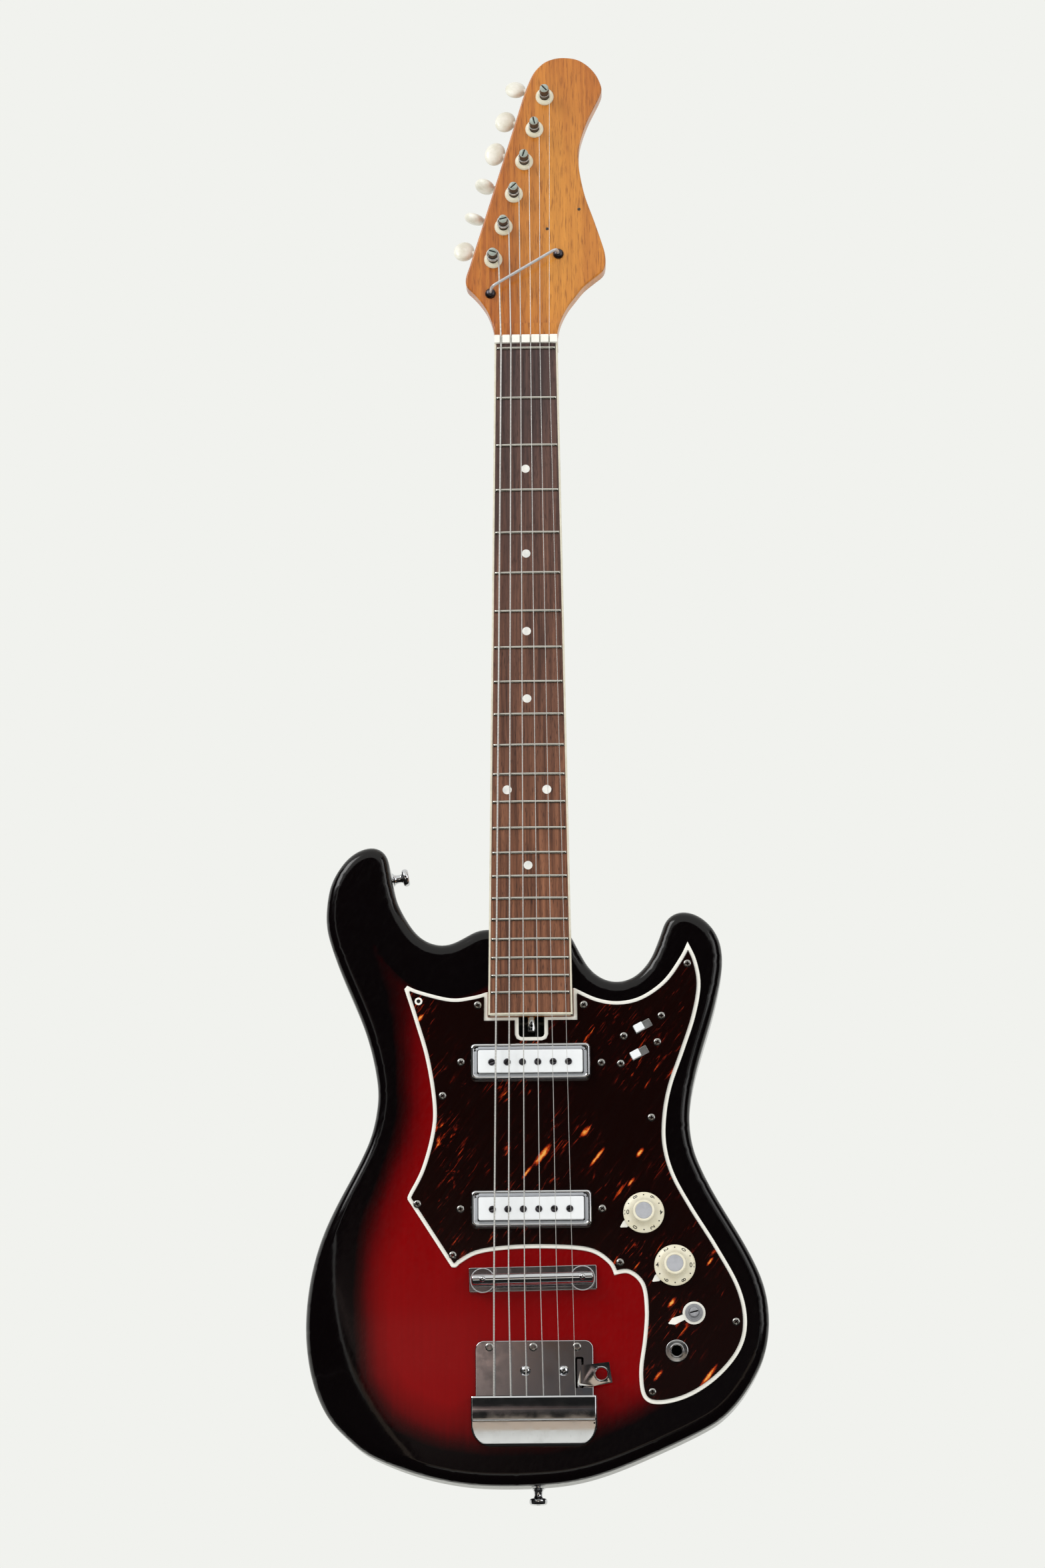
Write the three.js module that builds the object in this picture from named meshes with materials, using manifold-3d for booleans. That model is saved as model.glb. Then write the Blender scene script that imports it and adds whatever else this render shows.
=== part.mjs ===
// Electric guitar with two pickups and a vibrato tailpiece, at rest, in millimetres.
// X points to the treble side, Y to the back and Z up along the neck.
// The origin is the lowest point of the body's rim, at mid thickness.
import * as THREE from 'three';
import { mergeVertices } from 'three/addons/utils/BufferGeometryUtils.js';
import Module from 'manifold-3d';

const wasm = await Module();
wasm.setup();

// Scale and neck
const SCALE_LENGTH = 628;
const BRIDGE_Z = 130;
const FRETS = 21;
const BOARD_PAST_FRET = 14.5;
const NUT_WIDTH = 42.6;
const HEEL_WIDTH = 55;
const BOARD_HEIGHT = 9;
const BOARD_THICKNESS = 6;
const BOARD_RADIUS = 300;
const FRET_HEIGHT = 1;
const FRET_WIDTH = 2.3;
const BINDING = 1.2;
const NECK_DEPTH = 14.6;
const NECK_DEPTH_BODY = 16.4;
const POCKET_DEPTH = 16;
const HEEL_LENGTH = 58;
const FIT = 0.3;

// Headstock and nut
const HEAD_THICKNESS = 13;
const HEAD_STEP = 4;
const HEAD_EDGE = 1.2;
const SCOOP_LENGTH = 14.5;
const NUT_LENGTH = 5.5;
const NUT_AFTER_FRET = 3.5;
const NUT_HEIGHT = 8.2;

// Body
const BODY_THICKNESS = 40;
const EDGE_RADIUS = 7;
const ARM_BEVEL_SLOPE = 20;
const ARM_BEVEL_RADIUS = 181;

// Pickguard: a shell ply on a wider white ply
const WHITE_PLY = 1.3;
const SHELL_PLY = 1.2;
const WHITE_BORDER = 2.5;

// Strings, thickest first
const STRING_DIAMETERS = [1.1, 0.9, 0.68, 0.46, 0.36, 0.28];
const NUT_X = [-16.7, -10.1, -3.5, 3.2, 9.5, 15.7];
const BRIDGE_X = [-24.2, -14.9, -4.7, 5.4, 15.8, 26];
const TAIL_X = [-24.8, -14.1, -4.1, 6.7, 17.2, 27.1];
const STRING_REST = 0.2;
const WINDS = 2.5;
const WIND_GAP = 0.5;
const WIND_STEPS = 10;

// Tuning machines
const POST_PITCH = 24.6;
const POST_LINE_TILT = 16.9;
const FIRST_POST_X = -22.1;
const FIRST_POST_ABOVE_FRET = 67.1;
const POST_RADIUS = 3;
const POST_HEIGHT = 17.5;
const BUSHING_RADIUS = 6.2;
const BUSHING_HEIGHT = 2;
const GEAR_TEETH = 14;
const GEAR_RADIUS = 4.2;
const GEAR_ROOT = 3.5;
const GEAR_THICKNESS = 3;
const WORM_OFFSET = 5.5;
const WORM_RADIUS = 1.8;
const WORM_ROOT = 1.1;
const WORM_PITCH = 1.75;
const WORM_TURNS = 3;
const TOOTH_TIP = 0.25;
const TOOTH_BASE = 0.4;
const STRIP_THICKNESS = 1;
const BUTTON_REACH = 23;
const BUTTON_LENGTH = 14;
const BUTTON_WIDTH = 17.4;
const BUTTON_THICKNESS = 6.6;
const BUTTON_TURNS = [28, 82, 96, 8, 20, 38];

// Pickups
const PICKUP_LENGTH = 77.8;
const PICKUP_WIDTH = 23.8;
const PICKUP_RIM = 4.6;
const COVER_LENGTH = 68;
const COVER_WIDTH = 15;
const COVER_SINK = 1.3;
const POLE_RADIUS = 2.3;
const POLE_SPREAD = 49.8;
const NECK_PICKUP_GAP = 18.5;
const BRIDGE_PICKUP_RISE = 46;

// Controls
const KNOB_RADIUS = 13.2;
const KNOB_HEIGHT = 11;
const HUB_RADIUS = 7.2;
const SHAFT_RADIUS = 3;
const POT_RADIUS = 8.5;
const POT_DEPTH = 11;
const POINTER_RADIUS = 7.3;
const POINTER_REACH = 17;
const JACK_BORE = 3.4;
const JACK_DEPTH = 18;
const POTS = [
  { x: 72, z: 172.9, pointer: 211 },
  { x: 91.5, z: 138.8, pointer: 215 },
  { x: 103.3, z: 108.2, pointer: 202 },
];
const JACK = { x: 92, z: 84.1 };
const SWITCHES = [
  { x: 72.7, z: 294.9 },
  { x: 70.3, z: 277.2 },
];
const SWITCH_TILT = 28;
const SLOT_LENGTH = 12.2;
const SLOT_WIDTH = 5.6;
const SLIDER_LENGTH = 6.3;
const SLIDER_TRAVEL = 5.4;
const SLIDER_RISE = 3.6;

// Bridge
const BRIDGE_TILT = 0.9;
const BASE_LENGTH = 82;
const BASE_WIDTH = 15.8;
const BASE_THICKNESS = 2;
const BAR_RADIUS = 3.5;
const BAR_LENGTH = BASE_LENGTH - 4;
const BAR_HEIGHT = 14;
const STUD_SPACING = BASE_LENGTH - 18;
const STUD_OFFSET = -0.9;
const STUD_RADIUS = 2;
const WHEEL_RADIUS = 8;
const WHEEL_THICKNESS = 2;

// Vibrato tailpiece
const PLATE = { left: -36.8, right: 38.6, bottom: 27, top: 91.7, thickness: 2, corner: 5.5, heel: 13 };
const COVER = { left: -39.6, right: 40.7, bottom: 24.2, corner: 13, wall: 1.2 };
const COVER_SECTION = [
  [24.2, 5.6], [26.2, 7.4], [39.5, 8.8], [41.2, 10], [42.8, 12], [45.2, 13.4], [48, 13.9], [51, 13.4],
  [53.8, 12], [56, 10.2],
];
const ROCKER = { left: -28.5, right: 31, bottom: 44, top: 51, front: 10.8, back: 4 };
const PIVOT = { z: 46, height: 6.8, radius: 1.4 };
const ARM_SLOT = { left: 27, right: 32.4, bottom: 61, top: 81 };
const WINDOW = { left: 22.5, right: 32.5, below: 5, above: 5.5 };
const BLADE = { left: 28.4, right: 31, bottom: 63.5, top: 79 };
const BRACKET = { x: 43.8, z: 69.4, height: 6.6, thickness: 1.4, hole: 3.8 };
const FLANGE = [[28.6, 63.5], [30, 62.3], [39, 61.8], [50.7, 63.9], [48.7, 77], [36.9, 75.7], [28.6, 75]];
const TAIL_LINE = 56;
const SPRING_RADIUS = 2.6;
const SPRING_WIRE = 1;
const SPRING_TURNS = 3;

// Plate under the neck joint
const NECK_PLATE = { width: 52, length: 64, above: 29, thickness: 1.6, corner: 6, screwEdge: 7 };

// Strap buttons
const STRAP_CAP = 5.8;
const STRAP_LENGTH = 10.8;

// Derived places
const FACE = -BODY_THICKNESS / 2;
const BACK = BODY_THICKNESS / 2;
const GUARD_TOP = FACE - WHITE_PLY - SHELL_PLY;
const BOARD_TOP = FACE - BOARD_HEIGHT;
const BOARD_BASE = BOARD_TOP + BOARD_THICKNESS;
const HEAD_FACE = BOARD_BASE + HEAD_STEP;
const HEAD_BACK = HEAD_FACE + HEAD_THICKNESS;
const BAR_TOP = FACE - BAR_HEIGHT;
const fretZ = (n) => BRIDGE_Z + SCALE_LENGTH * 2 ** (-n / 12);
const ZERO_FRET = fretZ(0);
const NECK_END = fretZ(FRETS) - BOARD_PAST_FRET;
const NUT_Z = ZERO_FRET + NUT_AFTER_FRET;
const PICKUP_Z = [NECK_END - NECK_PICKUP_GAP - PICKUP_WIDTH / 2, BRIDGE_Z + BRIDGE_PICKUP_RISE];
const STRIP_BACK = HEAD_BACK + STRIP_THICKNESS;
const GEAR_Y = STRIP_BACK + FIT + GEAR_THICKNESS / 2;
const rad = THREE.MathUtils.degToRad;

// Outline of the body, x and z, from the treble side of the neck round to the bass side
const BODY_RUN = [
  [29.4, 352.5], [35.3, 338.9], [44.1, 329.7], [53.6, 325.8], [65.2, 327.5], [74.7, 335.3], [81.6, 346.3],
  [85, 356.8], [88.5, 366.5], [96.5, 372], [106.9, 371], [116.6, 364.5], [123.4, 353.8], [125.3, 342.2],
  [124.7, 330.1], [119.9, 307.9], [112.5, 284.4], [105.8, 262.2], [102.2, 237.5], [104.8, 214.4],
  [114.2, 191.7], [126.4, 170.8], [138.7, 150.2], [148.1, 128.4], [151.5, 105.2], [148.1, 81.9],
  [136.7, 59.6], [122, 43], [106, 33], [88.9, 25.3], [48.9, 8.6], [18.4, 1.4], [-18, 0], [-42.8, 1.2],
  [-73.6, 7.6], [-104.1, 19.8], [-120, 32], [-133.1, 46.6], [-142.6, 68.8], [-146.7, 93.8], [-146.2, 117.7],
  [-142.3, 141.2], [-135, 163.9], [-124.4, 185.4], [-112.3, 206.4], [-103.4, 227.3], [-99.5, 252],
  [-102.4, 275.3], [-108.8, 297.8], [-118.6, 321], [-127.7, 342.3], [-133.9, 365.9], [-132, 389.7],
  [-127, 401.1], [-120.5, 410], [-112.5, 415.8], [-103, 418], [-96.5, 415.5], [-92.8, 408.5], [-91, 394.8],
  [-88.1, 382.2], [-83.3, 372], [-76, 360.5], [-68.5, 354.1], [-56.6, 351], [-45.2, 354.9], [-36.5, 361.5],
];

// Outline of the pickguard: smooth runs that meet at its points
const GUARD_RUNS = [
  [[28.8, 320.8], [43.6, 313.9], [57.9, 311.8], [72.2, 315.2], [86.7, 325.5], [97.7, 340.7], [102.8, 350.9]],
  [[102.8, 350.9], [108.4, 338.2], [110.8, 321.8], [107.1, 301.3], [99.4, 278.4], [91.2, 255.6],
    [87.4, 236.4], [87.1, 217.3], [92.1, 198.2], [103.5, 176.7], [118.5, 152.2], [132.6, 125.6],
    [137.1, 103.3], [132.6, 84.6], [118.2, 67.3], [99.4, 55.1], [80.6, 50.6], [70.2, 54.9], [67.8, 71.2],
    [70.6, 92.2], [71.9, 110], [69.9, 126.2], [61.8, 134.1], [52.6, 133.2]],
  [[52.6, 133.2], [48.9, 140.6], [37.2, 148.2], [16, 150.6], [-12.3, 150.6], [-34.7, 147.7], [-46.8, 141.4]],
  [[-46.8, 141.4], [-49.2, 139.2], [-52, 139.4]],
  [[-52, 139.4], [-78.6, 180.8]],
  [[-78.6, 180.8], [-80.4, 183.9], [-79.2, 187.4]],
  [[-79.2, 187.4], [-71.2, 203.4], [-65, 226.1], [-63.9, 245], [-68.3, 274.2], [-75.9, 300.9],
   [-82.4, 321.3]],
  [[-82.4, 321.3], [-80.4, 323.6]],
  [[-80.4, 323.6], [-72.3, 320], [-52, 314.9], [-37.7, 316.2], [-28.8, 318.6]],
  [[-28.8, 318.6], [28.8, 320.8]],
];

// Outline of the headstock, x and height over the zero fret
const HEAD_RUN = [
  [21.2, 13.4], [22.4, 19.7], [24.7, 26], [28.5, 33.1], [33.4, 39.7], [39.1, 46.8], [45.9, 52.6],
  [52.4, 58.2], [54.2, 64.4], [53.6, 71.6], [51.4, 79.6], [46.3, 95.6], [40.6, 112.5], [37.2, 129.2],
  [36.5, 139.6], [37.1, 148.5], [39.3, 157.3], [43.2, 167.8], [47.8, 177.4], [50.9, 183.8], [52.7, 189.4],
  [51.8, 194.3], [48.8, 200.9], [43.6, 207.1], [36.8, 211.7], [29.2, 213.4], [21.6, 213.2], [14, 210.5],
  [7.9, 204.9], [4, 198.4], [-0.6, 186.3], [-6, 168.6],
];
const HEAD_LEFT_RUN = [
  [-38.4, 62], [-40.4, 56], [-40.9, 51.6], [-39.7, 47.4], [-35.9, 43.4], [-31.5, 38.3], [-27, 31.6],
  [-24, 24.4], [-22.2, 17.3], [-21.5, 13.4],
];

// Finishes
const gloss = (colour) => ({ color: colour, roughness: 0.2, metalness: 0 });
const metal = (colour, roughness = 0.2) => ({ color: colour, roughness, metalness: 1 });
const RED_BURST = gloss('#7d0310');
const WHITE_PLASTIC = gloss('#ece9e0');
const SHELL = gloss('#2a0f0c');
const MAHOGANY = gloss('#b4682a');
const ROSEWOOD = { color: '#54302a', roughness: 0.55, metalness: 0 };
const CREAM = gloss('#e9e2c4');
const CHROME = metal('#c9cacc');
const STEEL = metal('#9b9a97', 0.35);

// Geometry helpers

// Turns a closed geometry into a solid with shared corners and faces that point out
function solid(geometry) {
  const bare = new THREE.BufferGeometry();
  bare.setAttribute('position', geometry.getAttribute('position'));
  if (geometry.index) bare.setIndex(geometry.index);
  const merged = mergeVertices(bare, 1e-4);
  const position = merged.getAttribute('position');
  const corner = [0, 1, 2].map(() => new THREE.Vector3());
  const faces = [];
  let volume = 0;
  for (let i = 0; i < merged.index.count; i += 3) {
    const face = [0, 1, 2].map((k) => merged.index.getX(i + k));
    if (new Set(face).size < 3) continue;
    faces.push(face);
    face.forEach((vertex, k) => corner[k].fromBufferAttribute(position, vertex));
    volume += corner[0].dot(corner[1].clone().cross(corner[2]));
  }
  if (volume < 0) faces.forEach((face) => face.reverse());
  return new wasm.Manifold(new wasm.Mesh({
    numProp: 3,
    vertProperties: new Float32Array(position.array),
    triVerts: new Uint32Array(faces.flat()),
  }));
}

const joined = (first, ...others) => others.reduce((sum, other) => sum.add(other), first);
const cut = (first, ...others) => others.reduce((rest, other) => rest.subtract(other), first);
const point = ([x, y]) => new THREE.Vector2(x, y);

// Points of a closed outline from its runs, counterclockwise
function outline(runs, step) {
  const points = runs.flatMap((run) => {
    if (run.length === 2) return [point(run[0])];
    const curve = new THREE.SplineCurve(run.map(point));
    return curve.getSpacedPoints(Math.ceil(curve.getLength() / step)).slice(0, -1);
  });
  return THREE.ShapeUtils.isClockWise(points) ? points.reverse() : points;
}

// A rectangle with rounded corners
function roundedBox(left, right, bottom, top, corner, sides = 4) {
  const shape = new THREE.Shape();
  shape.moveTo(left + corner, bottom);
  shape.absarc(right - corner, bottom + corner, corner, -Math.PI / 2, 0);
  shape.absarc(right - corner, top - corner, corner, 0, Math.PI / 2);
  shape.absarc(left + corner, top - corner, corner, Math.PI / 2, Math.PI);
  shape.absarc(left + corner, bottom + corner, corner, Math.PI, Math.PI * 1.5);
  return shape.getPoints(sides).slice(0, -1);
}

// Moves every side of a counterclockwise outline inwards
function inset(points, distance) {
  return points.map((here, i) => {
    const before = points.at(i - 1);
    const after = points[(i + 1) % points.length];
    const a = new THREE.Vector2(before.y - here.y, here.x - before.x).normalize();
    const b = new THREE.Vector2(here.y - after.y, after.x - here.x).normalize();
    return here.clone().addScaledVector(a.clone().add(b), distance / (1 + a.dot(b)));
  });
}

// Carries rings of points one after another into a closed body; u and v name the plane of its ends
function loft(rings, u, v) {
  const count = rings[0].length;
  const faces = [];
  for (let r = 0; r < rings.length - 1; r += 1) {
    for (let i = 0; i < count; i += 1) {
      const a = r * count + i;
      const b = r * count + (i + 1) % count;
      faces.push([a, b, b + count], [a, b + count, a + count]);
    }
  }
  for (const [end, keep] of [[0, false], [rings.length - 1, true]]) {
    const flat = rings[end].map((p) => new THREE.Vector2(p[u], p[v]));
    const turn = THREE.ShapeUtils.area(flat) > 0;
    for (const face of THREE.ShapeUtils.triangulateShape(flat, [])) {
      const same = (THREE.ShapeUtils.area(face.map((k) => flat[k])) > 0) === turn;
      faces.push((same === keep ? face : face.toReversed()).map((k) => end * count + k));
    }
  }
  const geometry = new THREE.BufferGeometry();
  const places = rings.flat().flatMap((p) => p.toArray());
  geometry.setAttribute('position', new THREE.Float32BufferAttribute(places, 3));
  geometry.setIndex(faces.flat());
  return geometry;
}

// A slab whose outline lies in X and Z, from levels of [y, inset]
function slab(points, levels) {
  const ring = ([y, d]) => (d ? inset(points, d) : points).map((p) => new THREE.Vector3(p.x, y, p.y));
  return solid(loft(levels.map(ring), 'x', 'z'));
}

// A plate of constant outline between two depths
function plate(points, front, back) {
  const shape = new THREE.Shape(points);
  const geometry = new THREE.ExtrudeGeometry(shape, { depth: back - front, bevelEnabled: false });
  return solid(geometry.rotateX(Math.PI / 2).translate(0, back, 0));
}

// A bar along X whose section is given as [z, y]
function barAlongX(section, left, right) {
  const shape = new THREE.Shape(section.map(point));
  const geometry = new THREE.ExtrudeGeometry(shape, { depth: right - left, bevelEnabled: false });
  return solid(geometry.rotateY(-Math.PI / 2).translate(right, 0, 0));
}

// A body turned about a front to back axis, from [radius, y]
function turned(profile, sides = 24, place = new THREE.Matrix4()) {
  const geometry = new THREE.LatheGeometry(profile.map(point), sides);
  return solid(geometry.applyMatrix4(place));
}

const at = (x, z) => new THREE.Matrix4().makeTranslation(x, 0, z);

function block(x0, x1, y0, y1, z0, z1, place = new THREE.Matrix4()) {
  const geometry = new THREE.BoxGeometry(x1 - x0, y1 - y0, z1 - z0);
  geometry.translate((x0 + x1) / 2, (y0 + y1) / 2, (z0 + z1) / 2);
  return solid(geometry.applyMatrix4(place));
}

// A round bar along Y, X or Z between two ends
function rod(axis, radius, start, end, centre, sides = 20, place = new THREE.Matrix4()) {
  const geometry = new THREE.CylinderGeometry(radius, radius, end - start, sides);
  if (axis === 'x') geometry.rotateZ(Math.PI / 2);
  if (axis === 'z') geometry.rotateX(Math.PI / 2);
  const middle = new THREE.Vector3(...centre);
  middle[axis] = (start + end) / 2;
  geometry.translate(middle.x, middle.y, middle.z);
  return solid(geometry.applyMatrix4(place));
}

// A curve that visits its points one by one, so that a tube bends exactly there
class Route extends THREE.Curve {
  constructor(points) {
    super();
    this.points = points;
  }

  getPointAt(u, target = new THREE.Vector3()) {
    return target.copy(this.points[Math.round(u * (this.points.length - 1))]);
  }

  getTangentAt(u, target = new THREE.Vector3()) {
    const i = Math.round(u * (this.points.length - 1));
    const here = this.points[i];
    const before = this.points[Math.max(i - 1, 0)];
    const after = this.points[Math.min(i + 1, this.points.length - 1)];
    target.subVectors(here, before).normalize();
    return target.add(after.clone().sub(here).normalize()).normalize();
  }
}

// A tube of regular section along points
function tube(points, radius, sides = 6) {
  const section = new THREE.Shape(Array.from({ length: sides }, (_, k) => {
    const angle = 2 * Math.PI * k / sides;
    return new THREE.Vector2(radius * Math.cos(angle), radius * Math.sin(angle));
  }));
  return solid(new THREE.ExtrudeGeometry(section, {
    steps: points.length - 1, extrudePath: new Route(points), bevelEnabled: false,
  }));
}

// Smallest gap between the turns of a winding, measured between points at least half a turn apart
function leastGap(points, turnSteps, diameter) {
  let least = Infinity;
  points.forEach((a, i) => {
    for (const b of points.slice(i + turnSteps / 2)) least = Math.min(least, a.distanceTo(b) - diameter);
  });
  return least;
}

const guitar = new THREE.Group();

function add(name, shape, finish) {
  const mesh = shape.getMesh();
  const geometry = new THREE.BufferGeometry();
  geometry.setAttribute('position', new THREE.BufferAttribute(mesh.vertProperties, 3));
  geometry.setIndex(new THREE.BufferAttribute(mesh.triVerts, 1));
  geometry.computeVertexNormals();
  const node = new THREE.Mesh(geometry, new THREE.MeshStandardMaterial(finish));
  node.name = name;
  guitar.add(node);
}

// An inset outline without the corners that fall too near the edge
function shrunk(points, distance) {
  const near = new THREE.Vector3();
  return inset(points, distance).filter((p) => points.every((a, i) => {
    const b = points[(i + 1) % points.length];
    const side = new THREE.Line3(new THREE.Vector3(a.x, a.y), new THREE.Vector3(b.x, b.y));
    const spot = new THREE.Vector3(p.x, p.y);
    return side.closestPointToPoint(spot, true, near).distanceTo(spot) > distance - 0.05;
  }));
}

// Slots and places that several pieces share
const halfWidth = (z) => (
  NUT_WIDTH + (HEEL_WIDTH - NUT_WIDTH) * (ZERO_FRET - z) / (ZERO_FRET - NECK_END)) / 2;
const neckSlot = (gap, bottom, top) => [
  [-halfWidth(bottom) - gap, bottom], [halfWidth(bottom) + gap, bottom],
  [halfWidth(top) + gap, top], [-halfWidth(top) - gap, top],
].map(point);
const TRUSS = { x: 0.5, y: FACE + 0.2, radius: 2.8, rod: 1.9, length: 9.5, notch: 8.3, depth: 13.5 };
const switchPlace = ({ x, z }) => new THREE.Matrix4().makeRotationY(-rad(SWITCH_TILT)).setPosition(x, 0, z);
const bridgePlace = new THREE.Matrix4().makeRotationY(-rad(BRIDGE_TILT)).setPosition(0.3, 0, BRIDGE_Z + 1.3);
const STRAPS = [
  { name: 'strap_button_horn', x: -91.1, z: 398.6, angle: 10 },
  { name: 'strap_button_tail', x: 2.4, z: 0, angle: -90 },
];
// Y of the local frame runs outwards along the strap button's axis
const strapPlace = ({ x, z, angle }) => new THREE.Matrix4().makeBasis(
  new THREE.Vector3(0, 1, 0),
  new THREE.Vector3(Math.cos(rad(angle)), 0, Math.sin(rad(angle))),
  new THREE.Vector3(Math.sin(rad(angle)), 0, -Math.cos(rad(angle))),
).setPosition(x, 0, z);

// Levels of a slab with rounded edges
function roundEdges(radius, front, back, steps) {
  const arc = Array.from({ length: steps + 1 }, (_, k) => {
    const angle = (k / steps) * Math.PI / 2;
    return [radius * (1 - Math.cos(angle)), radius * (1 - Math.sin(angle))];
  });
  return [...arc.map(([y, d]) => [front + y, d]), ...arc.toReversed().map(([y, d]) => [back - y, d])];
}

// Body: round edges, a forearm bevel, the neck pocket and the cavities under the covers
function forearmBevel() {
  const reach = 60;
  const drop = reach * Math.tan(rad(ARM_BEVEL_SLOPE));
  const ring = new THREE.LatheGeometry([
    [ARM_BEVEL_RADIUS, FACE], [ARM_BEVEL_RADIUS + reach, FACE + drop],
    [ARM_BEVEL_RADIUS + reach, FACE - reach], [ARM_BEVEL_RADIUS, FACE - reach], [ARM_BEVEL_RADIUS, FACE],
  ].map(point), 120);
  return solid(ring.translate(54, 0, 139)).intersect(block(-260, -55, -100, 100, -80, 212));
}

function controlCavity() {
  const floor = FACE + JACK_DEPTH + 1;
  const places = [...POTS, JACK];
  const wells = places.map(({ x, z }) => rod('y', POT_RADIUS + 3, FACE - 5, floor, [x, 0, z]));
  const channels = places.slice(1).map((end, i) => {
    const { x, z } = places[i];
    const place = new THREE.Matrix4().makeRotationY(-Math.atan2(end.z - z, end.x - x)).setPosition(x, 0, z);
    return block(0, Math.hypot(end.x - x, end.z - z), FACE - 5, floor, -7, 7, place);
  });
  return joined(...wells, ...channels);
}

function makeBody() {
  const top = [[-28, 362], [24, 361.5]];
  const rim = outline([BODY_RUN, [BODY_RUN.at(-1), top[0]], top, [top[1], BODY_RUN[0]]], 9.5);
  const cavities = [
    plate(neckSlot(FIT, NECK_END - FIT, NECK_END + 80), FACE - 5, FACE + POCKET_DEPTH),
    block(TRUSS.x - TRUSS.notch, TRUSS.x + TRUSS.notch, FACE - 5, FACE + 10, NECK_END - 14.5, NECK_END + 1),
    ...PICKUP_Z.map((z) => block(-37, 37, FACE - 5, FACE + 8, z - 9.5, z + 9.5)),
    ...SWITCHES.map((place) => block(-14, 14, FACE - 5, FACE + 10, -7, 7, switchPlace(place))),
    block(21, 35, FACE - 5, FACE + 14, 39, 84),
    ...STRAPS.map((strap) => rod('y', 2.3, -12.6, 5, [0, 0, 0], 12, strapPlace(strap))),
  ];
  const blank = slab(rim, roundEdges(EDGE_RADIUS, FACE, BACK, 2));
  return cut(blank, forearmBevel(), controlCavity(), ...cavities);
}
add('body', makeBody(), RED_BURST);

// Pickguard plies: the white one is wider by its border, round its openings too
function guardPly(border, levels) {
  const rim = shrunk(outline(GUARD_RUNS, 9), border);
  const front = GUARD_TOP - 5;
  const back = FACE + 5;
  return cut(
    slab(rim, levels),
    plate(neckSlot(FIT + 0.2 + border, NECK_END - FIT - border, NECK_END + 80), front, back),
    plate(roundedBox(TRUSS.x - TRUSS.notch - border, TRUSS.x + TRUSS.notch + border,
      NECK_END - TRUSS.depth - border, NECK_END + 3, 2 + border / 2), front, back),
    ...PICKUP_Z.map((z) => block(-35, 35, front, back, z - 8.5, z + 8.5)),
    ...SWITCHES.map((place) => block(
      -SLOT_LENGTH / 2, SLOT_LENGTH / 2, front, back, -SLOT_WIDTH / 2, SLOT_WIDTH / 2, switchPlace(place))),
    ...POTS.map(({ x, z }) => rod('y', 4.8, front, back, [x, 0, z])),
    rod('y', 5, front, back, [JACK.x, 0, JACK.z]),
  );
}
add('pickguard_backing', guardPly(0, [[FACE - WHITE_PLY, 0.9], [FACE - 0.4, 0], [FACE, 0]]), WHITE_PLASTIC);
add('pickguard_shell', guardPly(WHITE_BORDER, [[GUARD_TOP, 0.3], [FACE - WHITE_PLY, 0]]), SHELL);

// Neck: sections of a flattened oval between the heel and the headstock
function neckRing(z, depth, power) {
  const half = halfWidth(z);
  return Array.from({ length: 11 }, (_, k) => {
    const angle = (k / 10) * Math.PI;
    const across = Math.sign(Math.cos(angle)) * Math.abs(Math.cos(angle)) ** (2 / power);
    const down = Math.max(Math.sin(angle), 0) ** (2 / power);
    return new THREE.Vector3(half * across, BOARD_BASE + depth * down, z);
  });
}

function headOutline() {
  const lift = (run) => run.map(([x, z]) => [x, z + ZERO_FRET]);
  const [right, left] = [lift(HEAD_RUN), lift(HEAD_LEFT_RUN)];
  return outline([right, [right.at(-1), left[0]], left, [left.at(-1), right[0]]], 9.5);
}

function makeNeck() {
  const heelTop = NECK_END + HEEL_LENGTH;
  const heelDepth = FACE + POCKET_DEPTH - BOARD_BASE;
  const end = ZERO_FRET + 20;
  const rings = [
    [NECK_END + 30, heelDepth - 1, 9], [heelTop - 2, heelDepth - 1, 9], [heelTop + 8, heelDepth - 1.2, 4],
    [heelTop + 20, NECK_DEPTH_BODY, 2.6], [heelTop + 45, NECK_DEPTH_BODY - 0.2, 2.3],
    [ZERO_FRET - 15, NECK_DEPTH, 2.3], [ZERO_FRET, NECK_DEPTH + 0.3, 2.8],
    [ZERO_FRET + 12, NECK_DEPTH + 1.6, 5], [end, HEAD_BACK - BOARD_BASE - 0.3, 8],
  ].map(([z, depth, power]) => neckRing(z, depth, power));
  const shaft = solid(loft(rings, 'x', 'y'));
  const heel = plate(neckSlot(0, NECK_END, heelTop), BOARD_BASE, FACE + POCKET_DEPTH);
  const points = headOutline();
  const head = slab(points, [
    [HEAD_FACE, HEAD_EDGE], [HEAD_FACE + HEAD_EDGE * 0.3, HEAD_EDGE * 0.3], [HEAD_FACE + HEAD_EDGE, 0],
    [HEAD_BACK - HEAD_EDGE, 0], [HEAD_BACK, HEAD_EDGE],
  ]);
  const scoopStart = NUT_Z + NUT_LENGTH + 0.6;
  const scoopEnd = scoopStart + SCOOP_LENGTH;
  const step = plate(points, BOARD_BASE, HEAD_FACE + 2)
    .intersect(block(-60, 60, -60, 20, ZERO_FRET, scoopEnd + 1));
  const hollow = Array.from({ length: 7 }, (_, k) => (
    [scoopStart + SCOOP_LENGTH * k / 6, HEAD_FACE - HEAD_STEP * (1 - k / 6) ** 2]));
  const scoopSide = [...hollow, [scoopEnd + 9, HEAD_FACE], [scoopEnd + 9, -60], [scoopStart, -60]];
  const scoop = barAlongX(scoopSide, -70, 70);
  const posts = POSTS.map(({ x, z }) => rod('y', 4.8, HEAD_FACE - 5, HEAD_BACK + 5, [x, 0, z]));
  const rodHole = rod('z', TRUSS.rod + 0.4, NECK_END - 5, NECK_END + 40, [TRUSS.x, TRUSS.y, 0], 16);
  return cut(joined(cut(joined(shaft, step), scoop), heel, head), ...posts, rodHole);
}

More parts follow.
